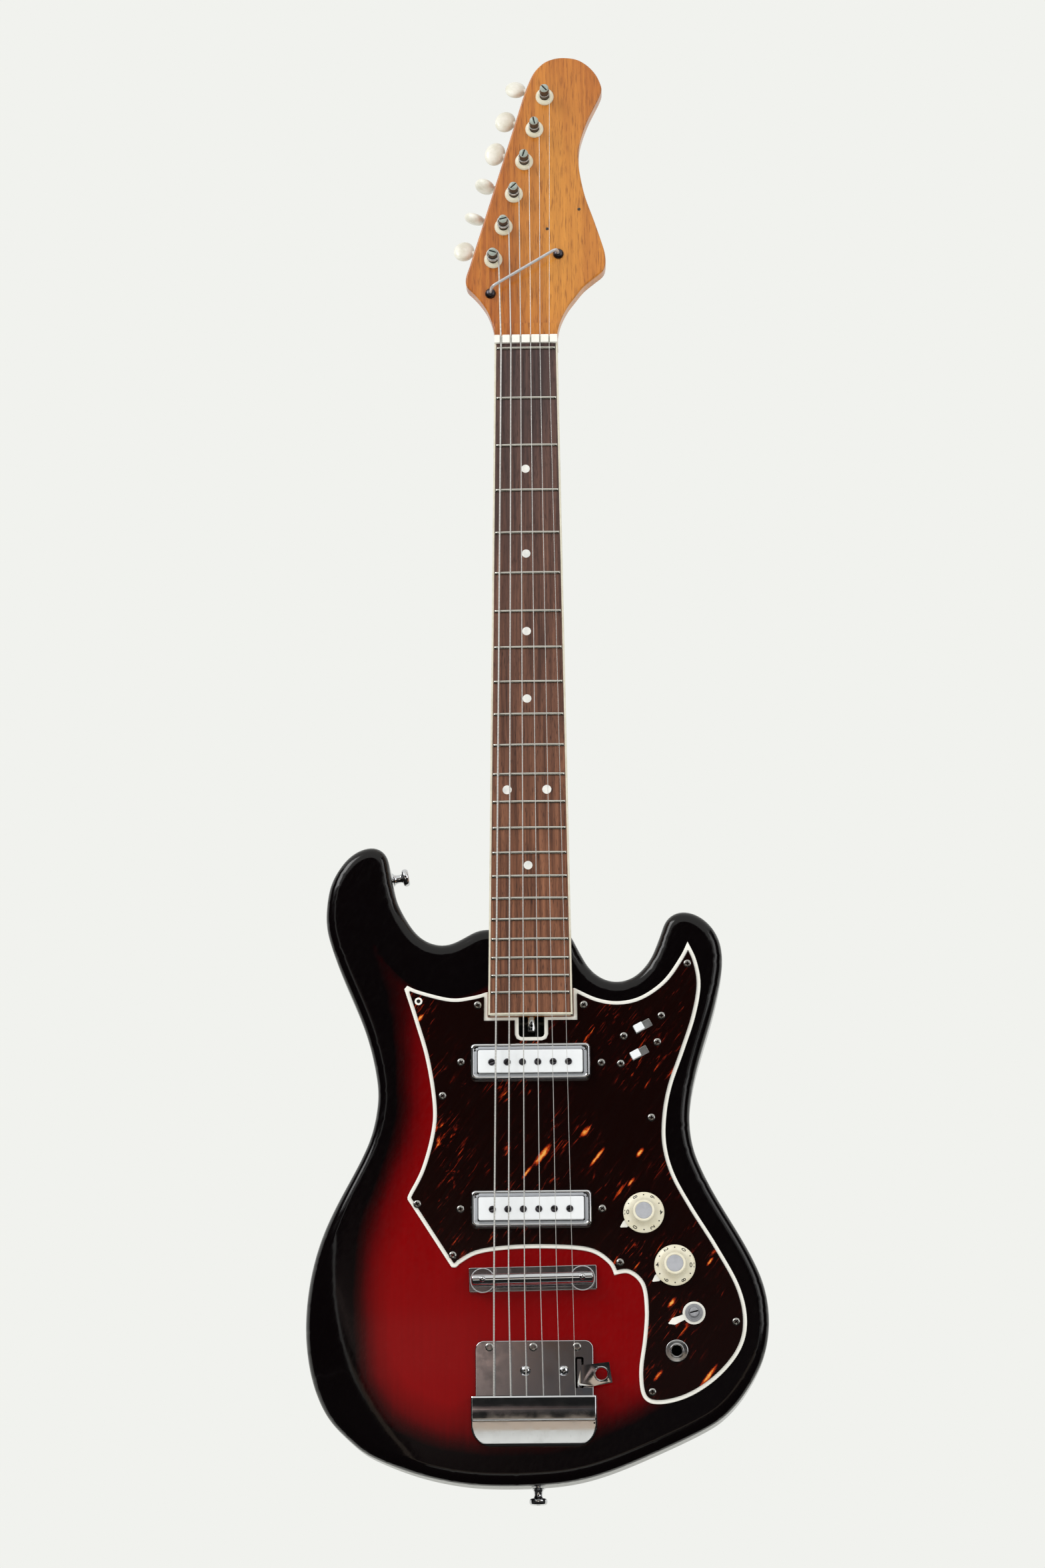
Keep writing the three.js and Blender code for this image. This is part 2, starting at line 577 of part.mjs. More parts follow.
// Places of the tuning machines: along runs up the row and across towards the buttons
const ROW = new THREE.Vector3(Math.sin(rad(POST_LINE_TILT)), 0, Math.cos(rad(POST_LINE_TILT)));
const ACROSS = new THREE.Vector3(-ROW.z, 0, ROW.x);
const firstPost = new THREE.Vector3(FIRST_POST_X, 0, ZERO_FRET + FIRST_POST_ABOVE_FRET);
const POSTS = STRING_DIAMETERS.map((_, k) => firstPost.clone().addScaledVector(ROW, POST_PITCH * k));
const machinePlace = (post) => new THREE.Matrix4()
  .makeBasis(ACROSS, new THREE.Vector3(0, 1, 0), ACROSS.clone().cross(new THREE.Vector3(0, 1, 0)))
  .setPosition(post);
const SIDE = ACROSS.clone().cross(new THREE.Vector3(0, 1, 0)).dot(ROW);
add('neck', makeNeck(), MAHOGANY);

// Fingerboard with its frets, and the binding round its edge
const camber = (x) => BOARD_TOP + x * x / (2 * BOARD_RADIUS);
const across = (half, count) => Array.from({ length: count + 1 }, (_, k) => half * (1 - 2 * k / count));

function makeFret(z) {
  const half = halfWidth(z) - BINDING - 0.4;
  const rings = [[-0.5, 0], [0, 1], [0.5, 0]].map(([shift, rise]) => [
    ...[half, -half].map((x) => new THREE.Vector3(x, BOARD_TOP + 2, z + shift * FRET_WIDTH)),
    ...across(-half, 4).map((x) => (
      new THREE.Vector3(x, camber(x) - rise * FRET_HEIGHT, z + shift * FRET_WIDTH))),
  ]);
  return solid(loft(rings, 'x', 'y'));
}

function boardBlank() {
  return solid(loft([NECK_END, NUT_Z].map((z) => {
    const half = halfWidth(z);
    return [
      new THREE.Vector3(-half, BOARD_BASE, z), new THREE.Vector3(half, BOARD_BASE, z),
      ...across(half, 4).map((x) => new THREE.Vector3(x, camber(x), z)),
    ];
  }), 'x', 'y'));
}

const blank = boardBlank();
const core = plate(neckSlot(-BINDING - 0.03, NECK_END + BINDING + 0.03, NUT_Z + 5), -60, 20);
const coreRoom = plate(neckSlot(-BINDING, NECK_END + BINDING, NUT_Z + 5), -60, 20);
const frets = Array.from({ length: FRETS + 1 }, (_, n) => makeFret(fretZ(n)));
add('fingerboard', joined(blank.intersect(core), ...frets), ROSEWOOD);
add('fingerboard_binding', cut(blank, coreRoom), CREAM);

const nutSlots = NUT_X.map((x, k) => {
  const half = STRING_DIAMETERS[k] / 2 + 0.3;
  return block(x - half, x + half, -60, BOARD_TOP + 0.2, NUT_Z - 5, NUT_Z + 20);
});
const nutBlank = plate(neckSlot(0, NUT_Z, NUT_Z + NUT_LENGTH), BOARD_BASE - NUT_HEIGHT, BOARD_BASE);
add('nut', cut(nutBlank, ...nutSlots), WHITE_PLASTIC);

const trussStart = NECK_END - TRUSS.length - 0.3;
add('truss_rod', cut(
  joined(
    rod('z', TRUSS.radius, trussStart, NECK_END - 0.3, [TRUSS.x, TRUSS.y, 0]),
    rod('z', TRUSS.rod, NECK_END - 1, NECK_END + 38, [TRUSS.x, TRUSS.y, 0], 16),
  ),
  rod('y', 1, -60, 20, [TRUSS.x, 0, trussStart + 3.4], 12),
), CHROME);

const plateMiddle = NECK_END + NECK_PLATE.above;
const plateOutline = roundedBox(
  -NECK_PLATE.width / 2, NECK_PLATE.width / 2,
  plateMiddle - NECK_PLATE.length / 2, plateMiddle + NECK_PLATE.length / 2, NECK_PLATE.corner);
const screwHead = BACK + NECK_PLATE.thickness;
add('neck_plate', joined(
  plate(plateOutline, BACK, screwHead),
  ...[[-1, -1], [1, -1], [-1, 1], [1, 1]].map(([i, j]) => turned(
    [[0, BACK + 1], [4.4, BACK + 1], [4.4, screwHead + 0.6], [2.5, screwHead + 1.8], [0, screwHead + 2]],
    10, at(
      i * (NECK_PLATE.width / 2 - NECK_PLATE.screwEdge),
      plateMiddle + j * (NECK_PLATE.length / 2 - NECK_PLATE.screwEdge)))),
), CHROME);

// String retainer: a bent bar over the strings behind the nut
const RETAINER = {
  left: new THREE.Vector3(-24.1, 0, ZERO_FRET + 42.7),
  right: new THREE.Vector3(22.2, 0, ZERO_FRET + 70.5),
  height: 8.6,
  radius: 1,
  lean: 1.6,
};
const retainerDirection = RETAINER.right.clone().sub(RETAINER.left).normalize();
function retainerPoint(along, height) {
  const foot = along < 0 ? RETAINER.right : RETAINER.left;
  const spot = foot.clone().addScaledVector(retainerDirection, along);
  const leanHere = RETAINER.lean * Math.max(height - 1, 0) / RETAINER.height;
  return spot.setY(HEAD_FACE - height).setZ(spot.z + leanHere);
}
add('string_retainer', joined(
  tube([
    retainerPoint(0, 0.6), retainerPoint(0.4, 4), retainerPoint(1.2, RETAINER.height - 1.4),
    retainerPoint(3.2, RETAINER.height), retainerPoint(-3.2, RETAINER.height),
    retainerPoint(-1.2, RETAINER.height - 1.4), retainerPoint(-0.4, 4), retainerPoint(-0.001, 0.6),
  ], RETAINER.radius, 6),
  ...[RETAINER.left, RETAINER.right].map(({ x, z }) => turned([
    [0, HEAD_FACE], [3.6, HEAD_FACE], [3.4, HEAD_FACE - 1.2], [2.2, HEAD_FACE - 2.2], [0, HEAD_FACE - 2.5],
  ], 12, at(x, z))),
), CHROME);

// Tuning machines: strip with bearing ears, bushings, posts with wheels, buttons with worms
function makeStrip() {
  const length = POST_PITCH * (POSTS.length - 1);
  const place = machinePlace(POSTS[0]);
  const local = (x0, x1, y0, y1, v0, v1) => block(
    x0, x1, y0, y1, Math.min(v0 * SIDE, v1 * SIDE), Math.max(v0 * SIDE, v1 * SIDE), place);
  const wormY = GEAR_Y;
  const pieces = [local(-6.5, 7, HEAD_BACK, STRIP_BACK, -9, length + 12)];
  const holes = [];
  POSTS.forEach((post, k) => {
    const along = POST_PITCH * k;
    holes.push(rod('y', POST_RADIUS + 0.35, HEAD_BACK - 5, STRIP_BACK + 5, [0, 0, SIDE * along], 14, place));
    for (const side of [-1, 1]) {
      const [near, far] = [side * 4, side * 5.3].sort((a, b) => a - b);
      pieces.push(local(near, far, STRIP_BACK - 0.5, wormY + 2.4,
        along + WORM_OFFSET - 2.4, along + WORM_OFFSET + 2.4));
    }
    holes.push(rod('x', WORM_ROOT + 0.35, -8, 8, [0, wormY, SIDE * (along + WORM_OFFSET)], 8, place));
  });
  return cut(joined(...pieces), ...holes);
}
add('tuner_strip', makeStrip(), CHROME);

function gearOutline() {
  const pitch = 2 * Math.PI / GEAR_TEETH;
  return Array.from({ length: GEAR_TEETH }, (_, k) => {
    const middle = pitch * (k + 0.5) + Math.PI / 2;
    return [
      [GEAR_ROOT, -TOOTH_BASE], [GEAR_RADIUS, -TOOTH_TIP], [GEAR_RADIUS, TOOTH_TIP], [GEAR_ROOT, TOOTH_BASE],
    ].map(([r, half]) => new THREE.Vector2(
      r * Math.cos(middle + half / r), r * Math.sin(middle + half / r)));
  }).flat();
}

function makePost() {
  const tip = HEAD_FACE - POST_HEIGHT;
  const post = turned([
    [0, GEAR_Y - 1], [POST_RADIUS, GEAR_Y - 1], [POST_RADIUS, tip + 1.4], [POST_RADIUS - 0.6, tip + 0.4],
    [POST_RADIUS - 1.7, tip], [0, tip],
  ], 12);
  return joined(post, plate(gearOutline(), GEAR_Y - GEAR_THICKNESS / 2, GEAR_Y + GEAR_THICKNESS / 2));
}

// The worm's axis is X of its own frame, with the wheel on the side of negative Z
function makeWorm() {
  const steps = WORM_TURNS * 8;
  const length = WORM_TURNS * WORM_PITCH;
  const rings = Array.from({ length: steps + 1 }, (_, k) => {
    const angle = (k / steps - 0.5) * WORM_TURNS * 2 * Math.PI;
    const middle = (k / steps - 0.5) * length;
    return [[0.8, -0.5], [0.8, 0.5], [WORM_RADIUS, TOOTH_TIP], [WORM_RADIUS, -TOOTH_TIP]].map(([r, s]) => (
      new THREE.Vector3(middle + s, r * Math.sin(angle), -r * Math.cos(angle))));
  });
  return solid(loft(rings, 'x', 'z'));
}

function makeButton(turn) {
  const grip = new THREE.Shape();
  grip.absellipse(0, 0, BUTTON_LENGTH / 2, BUTTON_WIDTH / 2, 0, 2 * Math.PI);
  const points = grip.getPoints(8).slice(0, -1);
  const half = BUTTON_THICKNESS / 2;
  const pillow = slab(points, [[-half, 2.6], [-half * 0.55, 0.5], [half * 0.55, 0.5], [half, 2.6]]);
  const place = new THREE.Matrix4().makeRotationX(rad(turn)).setPosition(BUTTON_REACH, 0, 0);
  return joined(
    pillow.transform([...place.elements]),
    rod('x', 2.6, BUTTON_REACH - BUTTON_LENGTH / 2 - 1.6, BUTTON_REACH - 4, [0, 0, 0], 10),
    rod('x', WORM_ROOT, -6.3, BUTTON_REACH - 5, [0, 0, 0], 8),
    makeWorm(),
  );
}

POSTS.forEach((post, k) => {
  const number = k + 1;
  const place = machinePlace(post);
  const wormPlace = place.clone().multiply(
    new THREE.Matrix4().makeTranslation(0, GEAR_Y, SIDE * WORM_OFFSET));
  if (SIDE < 0) wormPlace.multiply(new THREE.Matrix4().makeRotationX(Math.PI));
  const bushing = [
    [3.35, HEAD_FACE - BUSHING_HEIGHT], [4.8, HEAD_FACE - BUSHING_HEIGHT], [BUSHING_RADIUS, HEAD_FACE - 0.8],
    [BUSHING_RADIUS, HEAD_FACE], [4.4, HEAD_FACE], [4.4, HEAD_FACE + 7], [3.35, HEAD_FACE + 7],
    [3.35, HEAD_FACE - BUSHING_HEIGHT],
  ];
  const postPlace = SIDE < 0 ? place.clone().multiply(new THREE.Matrix4().makeRotationY(Math.PI)) : place;
  add(`tuner_bushing_${number}`, turned(bushing, 16, at(post.x, post.z)), CREAM);
  add(`tuner_post_${number}`, makePost().transform([...postPlace.elements]), STEEL);
  add(`tuner_button_${number}`, makeButton(BUTTON_TURNS[k]).transform([...wormPlace.elements]), CREAM);
});

// Bridge: base with threaded studs, thumbwheels and the bar that carries the strings
const studs = [-STUD_SPACING / 2, STUD_SPACING / 2];
const base = roundedBox(-BASE_LENGTH / 2, BASE_LENGTH / 2, -BASE_WIDTH / 2, BASE_WIDTH / 2, 1.5, 2);
add('bridge_base', joined(
  plate(base, FACE - BASE_THICKNESS, FACE),
  ...studs.map((x) => turned([
    [0, FACE - 1], [STUD_RADIUS, FACE - 1], [STUD_RADIUS, BAR_TOP - 0.2], [STUD_RADIUS * 0.6, BAR_TOP - 0.9],
    [0, BAR_TOP - 1],
  ], 16, at(x, STUD_OFFSET))),
).transform([...bridgePlace.elements]), CHROME);

studs.forEach((x, k) => {
  const front = BAR_TOP + 2 * BAR_RADIUS + 0.1;
  const bore = STUD_RADIUS + 0.3;
  const wheel = turned([
    [bore, front], [WHEEL_RADIUS - 0.6, front], [WHEEL_RADIUS, front + 0.5],
    [WHEEL_RADIUS, front + WHEEL_THICKNESS - 0.5], [WHEEL_RADIUS - 0.6, front + WHEEL_THICKNESS],
    [bore, front + WHEEL_THICKNESS], [bore, front],
  ], 20, at(x, STUD_OFFSET));
  add(`bridge_thumbwheel_${k + 1}`, wheel.transform([...bridgePlace.elements]), CHROME);
});

add('bridge_bar', cut(
  rod('x', BAR_RADIUS, -BAR_LENGTH / 2, BAR_LENGTH / 2, [0, BAR_TOP + BAR_RADIUS, STUD_OFFSET], 24),
  ...studs.map((x) => rod('y', STUD_RADIUS + 0.3, -60, 0, [x, 0, STUD_OFFSET], 16)),
).transform([...bridgePlace.elements]), CHROME);

// Vibrato tailpiece: plate on the body, hood over the pivot, spring and the rocker that holds the strings
const height = (rise) => FACE - rise;
const plateTop = height(PLATE.thickness);
function platePoints() {
  const { left, right, bottom, top, corner, heel } = PLATE;
  const shape = new THREE.Shape();
  shape.moveTo(left + heel, bottom);
  shape.absarc(right - heel, bottom + heel, heel, -Math.PI / 2, 0);
  shape.absarc(right - corner, top - corner, corner, 0, Math.PI / 2);
  shape.absarc(left + corner, top - corner, corner, Math.PI / 2, Math.PI);
  shape.absarc(left + heel, bottom + heel, heel, Math.PI, Math.PI * 1.5);
  return shape.getPoints(3).slice(0, -1);
}
const ears = [[ROCKER.left - 2.9, ROCKER.left - 0.8], [ROCKER.right + 0.8, ROCKER.right + 2.9]];
const levels = [[plateTop, 0.8], [plateTop + 0.8, 0], [FACE, 0]];
add('tailpiece_plate', cut(
  joined(
    slab(platePoints(), levels),
    ...ears.map(([a, b]) => block(a, b, height(PIVOT.height + 2.8), FACE - 1, PIVOT.z - 3, PIVOT.z + 3)),
  ),
  plate(roundedBox(ARM_SLOT.left, ARM_SLOT.right, ARM_SLOT.bottom, ARM_SLOT.top, 1.2, 2), -60, 20),
  block(WINDOW.left, WINDOW.right, plateTop - 0.4, 20, PIVOT.z - WINDOW.below, PIVOT.z + WINDOW.above),
  rod('x', PIVOT.radius + 0.3, -60, 60, [0, height(PIVOT.height), PIVOT.z], 16),
), CHROME);

function hood(wall) {
  const { left, right, bottom, corner } = COVER;
  const plan = roundedBox(left + wall, right - wall, bottom + wall, 80, corner - wall, 5);
  const crest = COVER_SECTION.map(point);
  const lower = new THREE.Vector2(crest[0].x, -6);
  const upper = new THREE.Vector2(crest.at(-1).x, -6);
  const section = [lower, ...crest, upper];
  const closed = THREE.ShapeUtils.isClockWise(section) ? section.reverse() : section;
  const shifted = wall ? inset(closed, wall) : closed;
  const bar = shifted.map(({ x, y }) => {
    if (!wall) return [x, FACE - Math.max(y, 0)];
    return [x > crest.at(-1).x - 2.5 ? x + 6 : x, FACE - (y < 0 ? -6 : y)];
  });
  return plate(plan, -60, 20).intersect(barAlongX(bar, -60, 60));
}
add('tailpiece_cover', cut(hood(0), hood(COVER.wall)), CHROME);

function makeRocker() {
  const middleY = height(PIVOT.height);
  const { left, right, bottom, top, front, back } = ROCKER;
  const section = [
    [bottom, -height(back)], [top, -height(back)], [top, -height(front - 1)], [top - 1, -height(front)],
    [bottom + 1, -height(front)], [bottom, -height(front - 1)],
  ].map(([z, y]) => [z, -y]);
  const flange = new THREE.Shape(FLANGE.map(point)).getPoints();
  const rise = BRACKET.height;
  const ring = turned([
    [0, height(rise) + 0.5], [BRACKET.hole + 1.2, height(rise) + 0.5],
    [BRACKET.hole + 1.2, height(rise + BRACKET.thickness)],
    [BRACKET.hole + 0.6, height(rise + BRACKET.thickness + 1)], [0, height(rise + BRACKET.thickness + 1)],
  ], 16, at(BRACKET.x, BRACKET.z));
  return cut(
    joined(
      barAlongX(section, left, right),
      rod('x', PIVOT.radius, left - 8.6, right + 7.2, [0, middleY, PIVOT.z], 14),
      block(WINDOW.left + 1, BLADE.right, height(back + 1), FACE + 6, bottom, top - 1.5),
      block(BLADE.left, BLADE.right, FACE + 1.2, FACE + 6, bottom, BLADE.top),
      block(BLADE.left, BLADE.right, height(rise + BRACKET.thickness), FACE + 3, BLADE.bottom, BLADE.top),
      plate(flange, height(rise + BRACKET.thickness), height(rise)),
      ring,
    ),
    rod('y', BRACKET.hole, -60, 20, [BRACKET.x, 0, BRACKET.z], 16),
    ...TAIL_X.map((x, k) => rod('z', 1.7, 45.3, 60, [tailX(k, top), tailY(k, top), 0], 8)),
  );
}

// Strings: each is one tube from the rocker over the bridge, the zero fret and round its post
const bridgeZ = (x) => BRIDGE_Z + 0.4 + x * Math.tan(rad(BRIDGE_TILT));
const tailDrop = 0.083;
function tailX(k, z) {
  return BRIDGE_X[k] + (TAIL_X[k] - BRIDGE_X[k]) * (BRIDGE_Z - z) / (BRIDGE_Z - TAIL_LINE);
}
function tailY(k, z) {
  return BAR_TOP - STRING_REST - STRING_DIAMETERS[k] / 2 + tailDrop * (BRIDGE_Z - z);
}
add('vibrato_rocker', makeRocker(), CHROME);

function springPoints() {
  const y = height(PIVOT.height);
  const start = ROCKER.left - 3.6;
  const pitch = SPRING_WIRE + 0.6;
  const steps = SPRING_TURNS * WIND_STEPS;
  const coil = Array.from({ length: steps + 1 }, (_, k) => {
    const angle = 2 * Math.PI * k / WIND_STEPS;
    return new THREE.Vector3(
      start - pitch * k / WIND_STEPS,
      y + SPRING_RADIUS * Math.cos(angle),
      PIVOT.z + SPRING_RADIUS * Math.sin(angle));
  });
  const first = coil[0].clone().setZ(PIVOT.z - 5);
  const last = coil.at(-1).clone().setZ(PIVOT.z + 5);
  return [first, ...coil, last];
}
const springRun = springPoints();
add('vibrato_spring', tube(springRun, SPRING_WIRE / 2, 6), STEEL);
console.log(`vibrato_spring least gap ${leastGap(springRun, WIND_STEPS, SPRING_WIRE).toFixed(2)} mm`);

function stringPoints(k) {
  const diameter = STRING_DIAMETERS[k];
  const r = diameter / 2;
  const post = POSTS[k];
  const start = new THREE.Vector3(NUT_X[k], 0, ZERO_FRET);
  start.y = camber(start.x) - FRET_HEIGHT - STRING_REST - r;
  const reach = POST_RADIUS + 0.3 + r;
  const gap = post.clone().setY(0).sub(start.clone().setY(0));
  const heading = Math.atan2(gap.z, gap.x) - Math.asin(reach / gap.length());
  const first = heading - Math.PI / 2;
  const spot = (angle, y) => (
    new THREE.Vector3(post.x + reach * Math.cos(angle), y, post.z + reach * Math.sin(angle)));
  const under = HEAD_FACE - RETAINER.height + RETAINER.radius + 0.3 + r;
  const touch = spot(first, under);
  const from = start.clone().setY(0);
  const way = touch.clone().setY(0).sub(from);
  const foot = retainerPoint(3.2, RETAINER.height).setY(0);
  const normal = new THREE.Vector3(-retainerDirection.z, 0, retainerDirection.x);
  const share = foot.clone().sub(from).dot(normal) / way.dot(normal);
  const crossing = from.clone().addScaledVector(way, share).setY(under);
  const pitch = diameter + WIND_GAP;
  const turns = Array.from({ length: WINDS * WIND_STEPS + 1 }, (_, i) => (
    spot(first + 2 * Math.PI * i / WIND_STEPS, under - pitch * i / WIND_STEPS)));
  return [
    new THREE.Vector3(tailX(k, 47), tailY(k, 47), 47),
    new THREE.Vector3(BRIDGE_X[k], BAR_TOP - STRING_REST - r, bridgeZ(BRIDGE_X[k])),
    start, crossing, ...turns,
  ];
}
STRING_DIAMETERS.forEach((diameter, k) => {
  const points = stringPoints(k);
  add(`string_${k + 1}`, tube(points, diameter / 2, diameter > 0.6 ? 6 : 5), STEEL);
  console.log(`string_${k + 1} least gap ${leastGap(points.slice(4), WIND_STEPS, diameter).toFixed(2)} mm`);
});

// Pickups: rims on the guard and covers with pole screws that reach into the body
PICKUP_Z.forEach((z, k) => {
  const [half, wide] = [PICKUP_LENGTH / 2, PICKUP_WIDTH / 2];
  const rim = roundedBox(-half - 0.3, half - 0.3, z - wide, z + wide, 3, 3);
  const opening = roundedBox(-34.8, 34.2, z - 8, z + 8, 1.5, 2);
  const top = GUARD_TOP - PICKUP_RIM;
  add(`pickup_rim_${k + 1}`, cut(
    slab(rim, [[top, 1], [top + 1, 0], [GUARD_TOP, 0]]), plate(opening, -60, 20)), CHROME);
  const cover = roundedBox(-34.3, 33.7, z - COVER_WIDTH / 2, z + COVER_WIDTH / 2, 1.5, 2);
  const face = top - COVER_SINK + 0.5;
  const poles = NUT_X.map((_, n) => rod(
    'y', POLE_RADIUS, face - 1, face + 1, [-0.4 + POLE_SPREAD * (n / 5 - 0.5), 0, z - 0.6], 10));
  const coverBlank = slab(cover, [[face, 0.5], [face + 0.5, 0], [FACE + 5, 0]]);
  add(`pickup_cover_${k + 1}`, joined(coverBlank, ...poles), WHITE_PLASTIC);
});

// Controls: pots with their pointer washers, knobs, the bare shaft, the jack and the switches
function makePot({ x, z, pointer }) {
  const place = new THREE.Matrix4().makeRotationY(-rad(pointer)).setPosition(x, 0, z);
  const arm = new THREE.Shape([[0, -2.4], [POINTER_REACH - 3, -1.5], [POINTER_REACH, 0],
    [POINTER_REACH - 3, 1.5], [0, 2.4]].map(point));
  const washer = GUARD_TOP - 0.7;
  return cut(
    joined(
      rod('y', POT_RADIUS, FACE + 0.3, FACE + 0.3 + POT_DEPTH, [0, 0, 0], 16),
      rod('y', 4.4, GUARD_TOP - 0.1, FACE + 1, [0, 0, 0], 14),
      rod('y', POINTER_RADIUS, washer, GUARD_TOP, [0, 0, 0], 20),
      plate(arm.getPoints(), washer, GUARD_TOP),
      rod('y', 5.3, washer - 2, washer + 0.2, [0, 0, 0], 6),
    ),
    rod('y', SHAFT_RADIUS + 0.35, -60, FACE + 7.5, [0, 0, 0], 14),
  ).transform([...place.elements]);
}

function makeKnob() {
  const skirt = GUARD_TOP - 1.2;
  const rise = (share) => skirt - KNOB_HEIGHT * share;
  return turned([
    [0, FACE + 7], [SHAFT_RADIUS, FACE + 7], [SHAFT_RADIUS, skirt - 2.4], [6.3, skirt - 2.4], [6.3, skirt],
    [KNOB_RADIUS - 0.3, skirt], [KNOB_RADIUS, rise(0.03)], [KNOB_RADIUS, rise(0.09)],
    [KNOB_RADIUS - 1, rise(0.16)],
    [10.2, rise(0.25)], [8.7, rise(0.4)], [7.7, rise(0.58)], [HUB_RADIUS, rise(0.78)],
    [HUB_RADIUS - 0.1, rise(0.97)],
    [HUB_RADIUS - 0.6, rise(1)], [0, rise(1)],
  ], 24);
}

POTS.forEach((pot, k) => {
  add(`pot_${k + 1}`, makePot(pot), STEEL);
  if (k < 2) {
    add(`knob_${k + 1}`, makeKnob().transform([...at(pot.x, pot.z).elements]), CREAM);
    return;
  }
  const tip = GUARD_TOP - 8;
  const slotPlace = new THREE.Matrix4().makeRotationY(rad(14));
  add('tone_shaft', cut(
    turned([
      [0, FACE + 7], [SHAFT_RADIUS, FACE + 7], [SHAFT_RADIUS, tip + 0.4], [SHAFT_RADIUS - 0.4, tip], [0, tip],
    ], 20),
    block(-5, 5, tip - 1, tip + 2, -0.5, 0.5, slotPlace),
  ).transform([...at(pot.x, pot.z).elements]), STEEL);
});

add('output_jack', turned([
  [0, FACE + JACK_DEPTH - 2], [4.6, FACE + JACK_DEPTH - 2], [4.6, GUARD_TOP], [7.3, GUARD_TOP],
  [7.3, GUARD_TOP - 1], [6.8, GUARD_TOP - 1.4], [4.6, GUARD_TOP - 1.4], [4.4, GUARD_TOP - 2.6],
  [JACK_BORE, GUARD_TOP - 2.6], [JACK_BORE, FACE + JACK_DEPTH - 3.5], [0, FACE + JACK_DEPTH - 3.5],
], 20, at(JACK.x, JACK.z)), CHROME);

SWITCHES.forEach((place, k) => {
  const room = FACE + 4.6;
  add(`switch_housing_${k + 1}`, cut(
    block(-11, 11, FACE + 0.3, FACE + 9, -4.6, 4.6),
    block(-SLOT_LENGTH / 2, SLOT_LENGTH / 2, -60, room, -SLOT_WIDTH / 2, SLOT_WIDTH / 2),
  ).transform([...switchPlace(place).elements]), STEEL);
  const start = -SLOT_LENGTH / 2 + 0.25;
  const side = SLOT_WIDTH / 2 - 0.25;
  const tip = GUARD_TOP - SLIDER_RISE;
  add(`switch_slider_${k + 1}`, slab(
    [[start, -side], [start + SLIDER_LENGTH, -side], [start + SLIDER_LENGTH, side], [start, side]].map(point),
    [[tip, 0.5], [tip + 0.5, 0], [room - 0.3, 0]],
  ).transform([...switchPlace(place).elements]), WHITE_PLASTIC);
});

// Strap buttons
STRAPS.forEach((strap) => {
  const cap = STRAP_LENGTH;
  add(strap.name, turned([
    [0, -12], [1.9, -12], [1.9, 0.2], [4.6, 0.2], [3.4, 1.4], [2.7, 3], [2.7, cap - 4.6],
    [STRAP_CAP - 0.8, cap - 4],
    [STRAP_CAP, cap - 2.8], [STRAP_CAP - 0.2, cap - 0.8], [STRAP_CAP - 1, cap], [0, cap],
  ], 14, strapPlace(strap)), CHROME);
});

export default guitar;
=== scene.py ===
"""An electric guitar, dressed over its CAD frame. Lengths in the tables are millimetres."""

import math
from functools import partial

import bmesh
import bpy
import numpy as np
from mathutils import Matrix, Vector
from mathutils.geometry import delaunay_2d_cdt


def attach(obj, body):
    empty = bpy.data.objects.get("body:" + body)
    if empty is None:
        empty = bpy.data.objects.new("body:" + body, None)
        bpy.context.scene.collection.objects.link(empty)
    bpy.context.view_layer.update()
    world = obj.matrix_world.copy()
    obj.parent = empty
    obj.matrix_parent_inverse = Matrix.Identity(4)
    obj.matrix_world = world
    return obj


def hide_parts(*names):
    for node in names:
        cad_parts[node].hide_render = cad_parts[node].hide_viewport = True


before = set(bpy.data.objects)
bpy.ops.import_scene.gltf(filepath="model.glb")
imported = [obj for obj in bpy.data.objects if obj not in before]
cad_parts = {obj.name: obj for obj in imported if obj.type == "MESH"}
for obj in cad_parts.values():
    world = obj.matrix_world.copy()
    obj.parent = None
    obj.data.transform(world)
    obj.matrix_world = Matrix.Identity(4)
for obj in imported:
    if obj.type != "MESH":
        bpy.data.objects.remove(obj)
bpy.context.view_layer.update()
scene = bpy.context.scene

# Places and sizes that the CAD model also uses: x to the treble side, y to the back, z up
FACE, BACK = -20.0, 20.0
GUARD_TOP, BOARD_TOP, BOARD_BASE = -22.5, -29.0, -23.0
HEAD_FACE, HEAD_BACK = -19.0, -6.0
ZERO_FRET, SCALE_LENGTH, BRIDGE_Z = 758.0, 628.0, 130.0
BAR_TOP, GEAR_Y = -34.0, -3.2
NUT_WIDTH, NECK_GAIN = 42.6, 12.4
STRING_DIAMETERS = [1.1, 0.9, 0.68, 0.46, 0.36, 0.28]
NUT_X = [-16.7, -10.1, -3.5, 3.2, 9.5, 15.7]
BRIDGE_X = [-24.2, -14.9, -4.7, 5.4, 15.8, 26.0]
TAIL_X = [-24.8, -14.1, -4.1, 6.7, 17.2, 27.1]
ROW_TILT = math.radians(16.9)
ROW = np.array([math.sin(ROW_TILT), 0.0, math.cos(ROW_TILT)])
ACROSS = np.array([-ROW[2], 0.0, ROW[0]])
POSTS = [np.array([-22.1, 0.0, ZERO_FRET + 67.1]) + 24.6 * k * ROW for k in range(6)]
BUTTON_TURNS = [28, 82, 96, 8, 20, 38]
KNOBS = [(72.0, 172.9, 211), (91.5, 138.8, 215), (103.3, 108.2, 202)]
JACK = (92.0, 84.1)
SWITCHES = [(72.7, 294.9), (70.3, 277.2)]
SWITCH_TILT, BRIDGE_TILT = 28, 0.9  # degrees


def fret_z(n):
    """Height of a fret: its distance to the bridge is the scale length over two to the power n / 12."""
    return BRIDGE_Z + SCALE_LENGTH * 2 ** (-n / 12)


NECK_END = fret_z(21) - 14.5


def half_width(z):
    """Half the board's width, which grows evenly from the zero fret down."""
    return (NUT_WIDTH + NECK_GAIN * (ZERO_FRET - z) / (ZERO_FRET - NECK_END)) / 2


